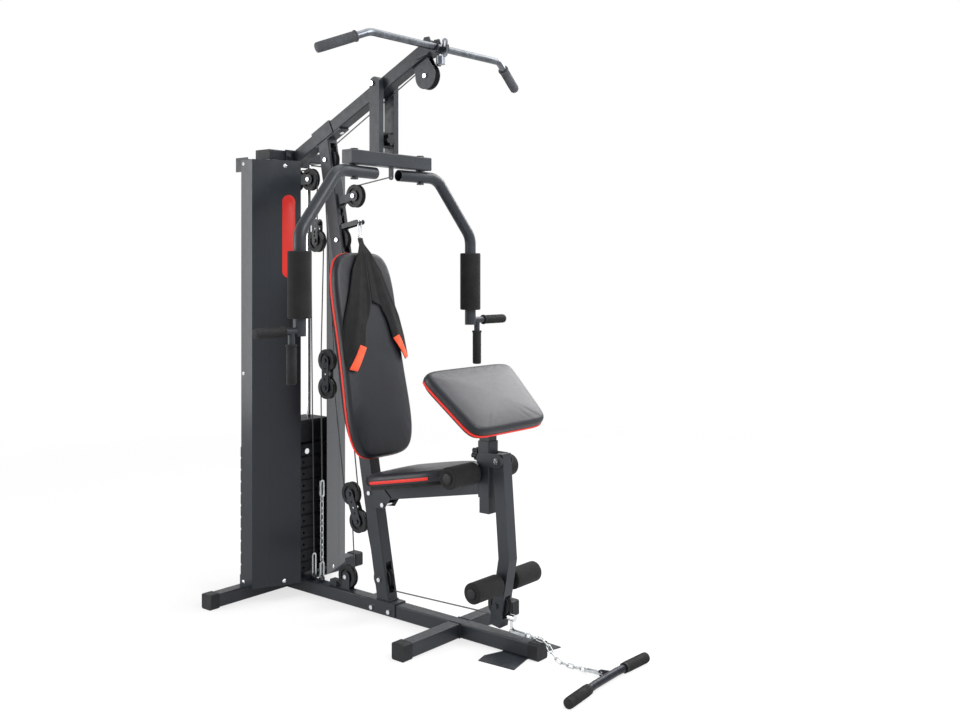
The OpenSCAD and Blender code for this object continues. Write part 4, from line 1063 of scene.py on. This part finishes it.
@dataclass
class AbStrap:
    """The crunch harness: a cloth yoke that hangs over the backrest from a snap hook, with two tails.

    Its lines are pairs of the distance down the backrest and the distance out from the middle.
    """

    top_s: float = 1302.0
    rest_u: float = 117.4
    rows: int = 64
    columns: int = 14
    flat: Pair = (0.185, 0.505)
    pad_flat: float = 95.0
    pad_edge: float = 65.0
    seam: tuple[Pair, ...] = ((-46, 0), (-20, 0), (60, 0), (130, 0), (200, 0))
    neck: tuple[Pair, ...] = ((-46, 12), (-20, 13), (4, 27), (80, 75), (171, 106))

    def inner(self, side: Side) -> tuple[Pair, ...]:
        """Gives the middle seam of a half and the inner edge of its tail."""
        if side is Side.RIGHT:
            return (*self.seam, (255, 19), (296, 42), (373, 59), (458, 121))
        return (*self.seam, (216, 44), (278, 74), (344, 90), (428, 146))

    def outer(self, side: Side) -> tuple[Pair, ...]:
        """Gives the outer edge of a half, from the neck to the end of its tail."""
        if side is Side.RIGHT:
            return (*self.neck, (260, 140), (348, 160), (430, 162), (447, 152))
        return (*self.neck, (260, 146), (340, 168), (402, 176), (417, 176))

    def tab(self, side: Side) -> tuple[Pair, Pair, Pair, Pair]:
        """Gives the corners of the tab on the slanted end of a tail."""
        if side is Side.RIGHT:
            return ((373, 59), (458, 121), (447, 152), (362, 91))
        return ((344, 90), (428, 146), (417, 176), (333, 122))

    @staticmethod
    def along(line: Sequence[Pair], t: float) -> Pair:
        """Gives the point at a share of a line's length."""
        steps = [math.dist(a, b) for a, b in zip(line, line[1:])]
        goal = t * sum(steps)
        for (a, b), step in zip(zip(line, line[1:]), steps):
            if goal <= step:
                return between(a, b, goal / step)
            goal -= step
        return line[-1]

    def lift(self, down: float, y: float) -> float:
        """Gives how far the cloth stands off the backrest, from its folds and the pad's falling edge."""
        edge = max(0.0, abs(y) - self.pad_flat) / self.pad_edge
        fall = -13.0 * edge * edge
        spread = max(0.0, min(1.0, (down + 24) / 300))
        angle = math.atan2(y, down + 90)
        folds = 4.5 * spread * (0.5 + 0.5 * math.sin(angle * 26 + 0.8))
        folds += 1.6 * spread * (0.5 + 0.5 * math.sin(angle * 61 + down * 0.012))
        neck = -11.5 * max(0.0, min(1.0, (14 - down) / 50))
        return 3.2 + fall + folds + neck

    def spot(self, point: Pair, side: Side, off: float = 0.0) -> Vector:
        """Gives the place of a point of the cloth, off its own face by a distance."""
        down, y = point[0], point[1] * side.value
        x, z = post_at(self.top_s - down, self.rest_u + self.lift(down, y) + off)
        return Vector((x, y, z))

    def half(self, side: Side) -> list[list[Vector]]:
        """Lays one half of the yoke out as rows of points from its middle line to its outer edge."""
        grid = []
        for i in range(self.rows + 1):
            a = self.along(self.inner(side), i / self.rows)
            b = self.along(self.outer(side), i / self.rows)
            shares = [k / self.columns for k in range(self.columns + 1)]
            grid.append([self.spot(between(a, b, q), side) for q in shares])
        return grid

    @staticmethod
    def cloth(name: str, grid: Sequence[Sequence[Vector]], thick: float, shop: Workshop, finish: Material) -> Piece:
        """Makes a piece of cloth of one thickness from rows of points."""
        obj = shop.piece(name, loft(grid, around=False, ends=False), finish, sharp=120)
        modifier = obj.modifiers.new("Cloth", "SOLIDIFY")
        modifier.thickness, modifier.offset = thick / 1000, 0.0
        settle(obj)
        return obj

    def build(self, shop: Workshop) -> None:
        """Makes the cloth halves, their orange ends and their stitches."""
        for side in Side:
            label = side.name.lower()
            cut = [*self.inner(side), *reversed(self.outer(side))]
            obj = self.cloth(f"ab_strap_{label}", self.half(side), 2.6, shop, shop.palette.webbing)
            shop.fit(obj, FRAME, Slot.WEBBING, "cloth yoke of the crunch harness", "ab_strap")
            tab = self.patch(side, shop)
            hems = [
                [self.spot(self.shifted(line, j / 40, move), side, 1.9) for j in range(4, 36)]
                for line, move in ((self.outer(side), -5.0), (self.inner(side), 5.0))
            ]
            sizes = {"Pitch": 5.0, "Length": 1.8, "Width": 0.55}
            seam = shop.rows.line_set(f"ab_strap_stitches_{label}", shop.rows.beads, hems, sizes, shop.palette.plastic)
            shop.fit(seam, FRAME, Slot.WEBBING, "hem stitches of the crunch harness")

    def shifted(self, line: Sequence[Pair], t: float, move: float) -> Pair:
        """Gives a point of a hem, moved across the cloth."""
        down, y = self.along(line, t)
        return (down, y + move)

    def patch(self, side: Side, shop: Workshop) -> Piece:
        """Makes the orange tab sewn over a tail's end."""
        a, b, c, d = self.tab(side)
        grid = []
        for i in range(13):
            t = i / 12
            near, far = between(a, b, t), between(d, c, t)
            shares = [k / 6 - 0.04 for k in range(7)]
            grid.append([self.spot(between(near, far, q), side, 2.6) for q in shares])
        obj = self.cloth(f"ab_strap_tab_{side.name.lower()}", grid, 2.2, shop, shop.palette.patch)
        return shop.fit(obj, FRAME, Slot.RED_PLASTIC, "orange tab of the crunch harness")


@dataclass
class SnapHook:
    """A bent-wire snap hook with a spring gate."""

    name: str
    body: str
    centre: Vector
    up: Vector
    across: Vector
    length: float = 70.0
    wire: float = 3.0

    def build(self, shop: Workshop) -> None:
        """Makes the hook's loop and its gate."""
        half, wide, tight = self.length / 2 - self.wire, 8.5, 6.0
        outline = []
        for k in range(13):
            a = math.pi * k / 12
            outline.append((wide * math.cos(a), half - wide + wide * math.sin(a)))
        for k in range(13):
            a = math.pi + math.pi * k / 12
            outline.append((tight * math.cos(a) + 0.5, tight - half + tight * math.sin(a)))
        loop = [self.centre + self.across * x + self.up * z for x, z in outline]
        side = self.up.cross(self.across)
        rings = []
        n = len(loop)
        for i, p in enumerate(loop):
            rings.append(disc(p, unit_frame(loop[(i + 1) % n] - loop[i - 1], side), self.wire, 12))
        obj = shop.piece(self.name, loft(rings, along=True), shop.palette.bright)
        shop.fit(obj, self.body, Slot.BRIGHT_STEEL, "snap hook")
        gate = [self.centre + self.across * (wide - q) + self.up * z for q, z in ((0.2, 14), (1.4, 0), (2.3, -12))]
        bar = shop.piece(self.name + "_gate", pipe(gate, self.wire * 1.25, 12, side), shop.palette.zinc)
        shop.fit(bar, self.body, Slot.ZINC_STEEL, "gate of a snap hook")


@dataclass
class CableRun:
    """A coated cable over its pulleys, cut into stretches that follow what carries them."""

    node: str
    stops: tuple[tuple[float, float, int], ...]
    carriers: tuple[str, ...]
    radius: float = 2.5
    run_radius: float = 37.9
    swung: tuple[str, ...] = ("press", "lever")
    zone: float = 0.28
    fine_step: float = 8.0
    coarse_step: float = 40.0
    wrap_step: float = 0.12

    def bend(self, i: int) -> float:
        """Gives a stop's running radius, signed by the way it turns."""
        return 0.0 if i in (0, len(self.stops) - 1) else self.run_radius * self.stops[i][2]

    def heading(self, i: int) -> float:
        """Gives the direction of the straight stretch after a stop."""
        (ax, az, _), (bx, bz, _) = self.stops[i], self.stops[i + 1]
        gap = math.hypot(bx - ax, bz - az)
        return math.atan2(bz - az, bx - ax) + math.asin((self.bend(i) - self.bend(i + 1)) / gap)

    def touch(self, i: int, heading: float) -> Vector:
        """Gives where the cable meets a stop's pulley on a heading."""
        x, z, _ = self.stops[i]
        r = self.bend(i)
        return Vector((x + r * math.sin(heading), 0, z - r * math.cos(heading)))

    def straight(self, i: int) -> list[Vector]:
        """Gives the points of the straight stretch after a stop."""
        h = self.heading(i)
        a, b = self.touch(i, h), self.touch(i + 1, h)
        step = self.fine_step if set(self.carriers[i : i + 2]) & set(self.swung) else self.coarse_step
        count = max(2, round((b - a).length / step))
        return [a.lerp(b, k / count) for k in range(count + 1)]

    def wrap(self, i: int) -> list[Vector]:
        """Gives the points of the stretch round a stop's pulley."""
        a, b = self.heading(i - 1), self.heading(i)
        turn = (b - a) % math.tau if self.stops[i][2] > 0 else -((a - b) % math.tau)
        count = max(3, round(abs(turn) / self.wrap_step))
        return [self.touch(i, a + turn * k / count) for k in range(count + 1)]

    def lay(self, label: str, points: Sequence[Vector], start: str, end: str, shop: Workshop) -> None:
        """Makes one stretch and lets it follow one body, or leaves it where it was made when it runs between the frame
        and one body.

        By a body that swings, the share of the stretch next to it is worked out but not used.

        Args:
            label: Name of the stretch.
            points: Its line.
            start: Body at its first point.
            end: Body at its last point.
            shop: Maker of the piece.
        """
        obj = shop.piece(label, pipe(points, self.radius, 10), shop.palette.cable)
        if start == end:
            shop.fit(obj, start, Slot.CABLE_COAT, "stretch of cable", self.node)
        else:
            first, last = points[0], points[-1]
            if start in self.swung:
                last = first.lerp(last, self.zone)
            elif end in self.swung:
                first = last.lerp(first, self.zone)
            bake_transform(obj)
            shop.tag(obj, Slot.CABLE_COAT, "stretch of cable that follows its pulley", self.node)

    def build(self, shop: Workshop) -> None:
        """Makes all stretches."""
        last = len(self.stops) - 1
        for i in range(last):
            a, b = self.carriers[i], self.carriers[i + 1]
            points = self.straight(i)
            label = f"{self.node}_run_{i}"
            if a == b or FRAME in (a, b):
                self.lay(label, points, a, b, shop)
            elif {a, b} == {"hung", "twin"}:
                self.lay(label, points, a, a, shop)
            else:
                half = len(points) // 2
                self.lay(label + "_a", points[: half + 1], a, FRAME, shop)
                self.lay(label + "_b", points[half:], FRAME, b, shop)
            if i + 1 < last:
                self.lay(f"{self.node}_wrap_{i + 1}", self.wrap(i + 1), b, b, shop)


@dataclass
class Shroud:
    """Trim of the sheet-metal covers of the weight stack: screws, folded edges and a plain red stripe."""

    lean: Pair = (0.9098, 0.4150)
    crease: Pair = (107.0, 182.0)
    slope: float = 52 / 114
    foot: float = 60.0
    middle: float = 880.0
    top: float = 1702.0

    def facet(self, y: float, z: float, side: Side, off: float = 0.0) -> Vector:
        """Gives a place on the angled front face of a cover."""
        x = self.crease[0] + (self.crease[1] - y) * self.slope
        return Vector((x + off * self.lean[0], side.value * (y + off * self.lean[1]), z))

    def stripe(self, middle: float, half: float, low: float, high: float, side: Side) -> Loft:
        """Skins a thin stripe with round ends on the front face."""
        outline = []
        for base, start in ((high - half, 0.0), (low + half, math.pi)):
            for k in range(13):
                a = start + math.pi * k / 12
                outline.append((middle + half * 0.91 * math.cos(a), base + half * math.sin(a)))
        rings = []
        centre = (low + high) / 2
        for share, off in ((1.0, 0.05), (1.0, 0.7), (0.94, 1.0)):
            tall = 1 - (1 - share) * 0.2
            spots = [(middle + (y - middle) * share, centre + (z - centre) * tall) for y, z in outline]
            rings.append([self.facet(y, z, side, off) for y, z in spots])
        return loft(rings)

    def build(self, shop: Workshop) -> None:
        """Makes the stripe of the right cover, and the screws and the folded edges of both."""
        for side in Side:
            label = side.name.lower()
            if side is Side.RIGHT:
                wide = shop.piece("shroud_stripe", self.stripe(112.0, 26.0, 1249.0, 1572.0, side), shop.palette.stripe)
                shop.fit(wide, FRAME, Slot.RED_PLASTIC, "plain red stripe of a cover")
            out = Vector((self.lean[0], side.value * self.lean[1], 0))
            spots = [(self.facet(125, 1685, side, 0.4), out), (self.facet(128, 72, side, 0.4), out)]
            heights = (self.top - 12, self.middle, self.foot + 15)
            spots += [(Vector((26, side.value * 242.6, z)), LEFTWARD * side.value) for z in heights]
            screws = shop.rows.screw_set(f"shroud_screws_{label}", spots, shop.palette.bright, 5.0)
            shop.fit(screws, FRAME, Slot.BRIGHT_STEEL, "screws of a cover")
            crease = [self.facet(self.crease[1], z, side, 0.1) for z in (self.foot, self.middle, self.top)]
            fold = shop.piece(f"shroud_fold_{label}", pipe(crease, 1.1, 8), shop.palette.shroud)
            shop.fit(fold, FRAME, Slot.SHROUD_PAINT, "folded edge of a cover")


@dataclass
class WeldSeams:
    """Weld seams where the frame's tubes meet."""

    width: float = 2.2

    @staticmethod
    def ring(corner: Vector, across: Vector, up: Vector) -> list[Vector]:
        """Gives the closed line round a tube's rectangular foot.

        Args:
            corner: One corner of the foot.
            across: Its first side.
            up: Its second side.

        Returns:
            The corners in order, back to the first.
        """
        return [corner, corner + across, corner + across + up, corner + up, corner]

    def build(self, shop: Workshop) -> None:
        """Makes the seams on the frame and on the press frame."""
        floor = [self.ring(Vector((535.5, -25.5, 60.2)), Vector((61.5, 0, 0)), Vector((0, 51, 0)))]
        upper = []
        for side in Side:
            y = side.value
            floor.append(self.ring(Vector((891.5, 25.2 * y, 3.2)), Vector((51, 0, 0)), Vector((0, 0, 50.6))))
            upper.append(self.ring(Vector((522.7, 26.5 * y, 1712.3)), Vector((50, 0, 0)), Vector((0, 25 * y, 0))))
        floor.append([Vector((25.3, 25.2, 53.8)), Vector((25.3, -25.2, 53.8))])
        sizes = {"Pitch": 2.6, "Length": 2.2, "Width": self.width}
        for name, lines, body in (("frame_welds", floor, FRAME), ("press_welds", upper, "press")):
            seams = shop.rows.line_set(name, shop.rows.beads, lines, sizes, shop.palette.paint)
            shop.fit(seams, body, Slot.FRAME_PAINT, "weld seams of the steel tubes")


NODE_FINISH: dict[str, tuple[str, ...]] = {
    "paint": (
        "main_beam", "stabilizers", "main_post", "boom", "top_crossbar", "seat_frame", "press_frame", "fly_arm_right",
        "fly_arm_left", "leg_lever", "curl_post", "frame_brackets", "pulley_brackets", "hung_block", "twin_block",
        "rear_block",
    ),
    "shroud": ("shroud_right", "shroud_left"),
    "bright": ("guide_rods", "selector_stem", "selector_pin", "frame_bolts", "row_stop"),
    "bar": ("lat_bar",),
    "dark_bar": ("row_bar",),
    "zinc": ("anchor_chain", "row_chain"),
    "plastic": (
        "end_caps", "boom_pulley", "top_pulley", "mid_pulley", "strap_pulley", "low_pulley", "base_pulley",
        "crown_pulley_rear", "crown_pulley_front", "hung_pulley", "twin_pulley_upper", "twin_pulley_lower",
        "rear_pulley_upper", "rear_pulley_lower", "leg_pulley", "press_knob", "curl_knob",
    ),
    "weights": ("resting_plates", "lifted_weights"),
    "board": ("pad_boards",),
}


class HomeGym:
    """The whole machine: its finishes, and the pieces that dress its frame."""

    def __init__(self) -> None:
        """Sets the workshop up."""
        self.shop = Workshop()

    def dress_nodes(self) -> None:
        """Gives each node that stays its finish."""
        for finish, names in NODE_FINISH.items():
            for name in names:
                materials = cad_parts[name].data.materials
                materials.clear()
                materials.append(getattr(self.shop.palette, finish))
            log.info("finish %s: %d nodes", finish, len(names))

    def cushions(self) -> None:
        """Makes the seat, the backrest and the curl desk."""
        sides, front = ((0.13, 0.36), (0.64, 0.87)), ((-0.33, 0.33),)
        seat = Cushion("seat", "seat_pad", FRAME, SEAT_PLANE, 395, 300, 270, 4.2, 0.0, 9, 20, sides)
        back = Cushion("backrest", "backrest_pad", FRAME, BACK_PLANE, 772, 316, 336, 4.6, 11.0, 1.5, 15.5)
        desk = Cushion("curl desk", "curl_pad", "desk", DESK_PLANE, 286, 470, 392, 8.0, 0.0, 1.5, 13.5, front)
        for cushion in (seat, back, desk):
            cushion.build(self.shop)
        DeskBoard(desk).build(self.shop)

    def rollers(self) -> None:
        """Makes the foam sleeves of the knee bar, the leg lever and the fly arms."""
        for side in Side:
            out = LEFTWARD * side.value
            label = side.name.lower()
            knee, shin = (Vector((x, 38.5 * side.value, z)) for x, z in ((1012.5, 588), (1117, 226)))
            foot = self.on_arm(side, 275, -517)
            made = (
                Roller(f"knee_foam_{label}", "knee_rollers", FRAME, knee, out, 132, 38, 12.6, 18.2),
                Roller(f"leg_foam_{label}", "leg_rollers", "lever", shin, out, 132, 35, 10.1, 16.7),
                Roller(f"fly_foam_{label}", f"fly_pad_{label}", f"arm_{label}", foot, UP, 228, 41, 22.1),
            )
            for roller in made:
                roller.build(self.shop)

    @staticmethod
    def on_arm(side: Side, y: float, z: float) -> Vector:
        """Gives a place on a fly arm, y out from its pivot and z above its tube."""
        toe = math.radians(4.4)
        return Vector((570.7 + y * math.sin(toe), side.value * (174 + y * math.cos(toe)), 1636 + z))

    def grips(self) -> None:
        """Makes the rubber grips of the bars and the fly arms."""
        made: list[Grip] = []
        for side in Side:
            label = side.name.lower()
            s = side.value
            arm = f"arm_{label}"
            level = [self.on_arm(side, out, -559) for out in (468, 300)]
            upright = [self.on_arm(side, 313, z) for z in (-731, -600)]
            lat = [Vector((762, 518 * s, 2000)), Vector((822, 342 * s, 2073))]
            made.append(Grip(f"fly_grip_level_{label}", arm, *level, 120))
            made.append(Grip(f"fly_grip_upright_{label}", arm, *upright, 128))
            made.append(Grip(f"lat_grip_{label}", "lat", *lat, 145, pale=True))
        row_ends = {"right": ((1562, -259), (1546, -95)), "left": ((1550, 194), (1542, 35))}
        for label, ends in row_ends.items():
            made.append(Grip(f"row_grip_{label}", "row", *(Vector((x, y, 16.5)) for x, y in ends), 120, 16.75, 0.0))
        for grip in made:
            grip.build(self.shop)

    def cables(self) -> None:
        """Makes the four cables and the strand that ties the low cable's stop to the rowing chain."""
        hung, twin_up, twin_low = (178, 1394, -1), (238, 926, 1), (238, 819, 1)
        rear_up, rear_low = (374, 424, -1), (416, 324, 1)
        low, strap, top, mid = (post_at(76, -4), post_at(1361, 8), post_at(1680, 2), post_at(1510, 116))
        runs = (
            CableRun(
                "stack_cable",
                ((13, 689, 0), (50.9, 1639, -1), (140.1, 1639, -1), (178, 1473, 0)),
                ("stack", FRAME, FRAME, "hung"),
            ),
            CableRun(
                "upper_cable",
                ((158, 160, 0), hung, twin_up, (*top, -1), (768, 1978, -1), (830, 2008, 0)),
                (FRAME, "hung", "twin", FRAME, FRAME, "lat"),
            ),
            CableRun(
                "press_cable",
                ((574.2, 1624, 0), (*mid, 1), (*strap, 1), rear_up, twin_low, (205, 454.4, 0)),
                ("press", FRAME, FRAME, "rear", "twin", FRAME),
            ),
            CableRun(
                "low_cable",
                ((1137.2, 112.5, 0), (1099, 147, -1), (*low, -1), rear_low, (355, 103.5, -1), (303.5, 65.6, 0)),
                ("lever", "lever", FRAME, "rear", FRAME, FRAME),
            ),
        )
        for run in runs:
            run.build(self.shop)
        bends = ((1149, 79.5), (1154, 78.5), (1159, 75), (1161, 70), (1162, 67.5))
        tail = [Vector((x, 0, z)) for x, z in bends]
        strand = self.shop.piece("row_tail", pipe(tail, 2.2, 10), self.shop.palette.cable)
        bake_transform(strand)
        self.shop.tag(strand, Slot.CABLE_COAT, "tail of the low cable at the rowing chain's hook", "low_cable")

    def build(self) -> None:
        """Builds the whole machine."""
        self.dress_nodes()
        self.cables()
        self.cushions()
        self.rollers()
        self.grips()
        AbStrap().build(self.shop)
        SnapHook("ab_strap_hook", FRAME, Vector((418, 0, 1438)), UP, LEFTWARD).build(self.shop)
        Shroud().build(self.shop)
        WeldSeams().build(self.shop)
        log.info("%d pieces made", self.shop.count)


@dataclass
class Studio:
    """Camera, floor and soft light."""

    eye: Vector = field(default_factory=lambda: place(3323, -2806, 1299))
    turn: float = 39.48
    lens: float = 39.525
    shift: float = -0.0989
    surround: float = 0.5
    floor_half: float = 40.0

    def camera(self) -> None:
        """Makes the camera at the photograph's viewing angle."""
        data = bpy.data.cameras.new("camera")
        data.lens, data.sensor_width, data.sensor_fit = self.lens, 36.0, "HORIZONTAL"
        data.shift_y = self.shift
        data.clip_end = 100
        obj = shown("camera", data)
        obj.location = self.eye
        obj.rotation_euler = (math.radians(90), 0, math.radians(self.turn))
        bpy.context.scene.camera = obj

    @staticmethod
    def seen(bench: NodeBench) -> Socket:
        """Gives 1 for rays from the camera, from reflections and through glass."""
        path = bench.add("ShaderNodeLightPath")
        total = path.outputs["Is Camera Ray"]
        for name in ("Is Glossy Ray", "Is Transmission Ray"):
            total = bench.both(total, path.outputs[name], "MAXIMUM")
        return total

    def world(self) -> None:
        """Makes a white surround that lights the object softly."""
        world = bpy.data.worlds.new("studio")
        world.use_nodes = True
        bench = NodeBench(world.node_tree)
        back = bench.tree.nodes["Background"]
        back.inputs["Color"].default_value = (1, 1, 1, 1)
        bench.wire(bench.spread(self.seen(bench), 0.0, 1.0, self.surround, 1.0), back.inputs["Strength"])
        bpy.context.scene.world = world

    def floor(self) -> None:
        """Makes the pale floor, which keeps the object's shadow and fades to white away from it."""
        mesh = bpy.data.meshes.new("floor")
        half = self.floor_half
        mesh.from_pydata([(-half, -half, 0), (half, -half, 0), (half, half, 0), (-half, half, 0)], [], [(0, 1, 2, 3)])
        material = bpy.data.materials.new("pale_floor")
        material.use_nodes = True
        bench = NodeBench(material.node_tree)
        bench.tree.nodes.clear()
        spot = bench.add("ShaderNodeTexCoord").outputs["Object"]
        away = bench.add("ShaderNodeVectorMath", {0: spot}, operation="LENGTH").outputs["Value"]
        share = bench.both(self.seen(bench), bench.spread(away, 1.0, 5.0, 0.72, 1.0))
        matt = bench.add("ShaderNodeBsdfDiffuse", {"Color": (0.9, 0.9, 0.9, 1)}).outputs["BSDF"]
        glow = bench.add("ShaderNodeEmission", {"Strength": 1.0}).outputs["Emission"]
        mix = bench.add("ShaderNodeMixShader", {"Fac": share, 1: matt, 2: glow})
        bench.add("ShaderNodeOutputMaterial", {"Surface": mix.outputs["Shader"]})
        mesh.materials.append(material)
        shown("floor", mesh)

    @staticmethod
    def lamp(name: str, spot: Vector, size: float, power: float) -> None:
        """Makes one soft box that faces the machine's middle."""
        data = bpy.data.lights.new(name, "AREA")
        data.shape, data.size, data.energy = "SQUARE", size, power
        obj = shown(name, data)
        obj.location = spot
        obj.rotation_euler = (UP - spot).to_track_quat("-Z", "Y").to_euler()

    def build(self) -> None:
        """Sets the studio up."""
        bpy.context.scene.view_settings.view_transform = "Standard"
        self.camera()
        self.world()
        self.floor()
        self.lamp("key", Vector((3.4, 0.4, 3.2)), 2.2, 150)
        self.lamp("side", Vector((-2.6, -3.2, 1.5)), 2.6, 110)
        self.lamp("top", Vector((0.3, 0.6, 4.2)), 2.5, 60)
        self.lamp("far", Vector((0.4, 3.4, 3.2)), 2.4, 120)


def main() -> None:
    """Builds the studio and the machine."""
    logging.basicConfig(level=logging.INFO, format="%(message)s")
    Studio().build()
    HomeGym().build()


if __name__ == "__main__":
    main()
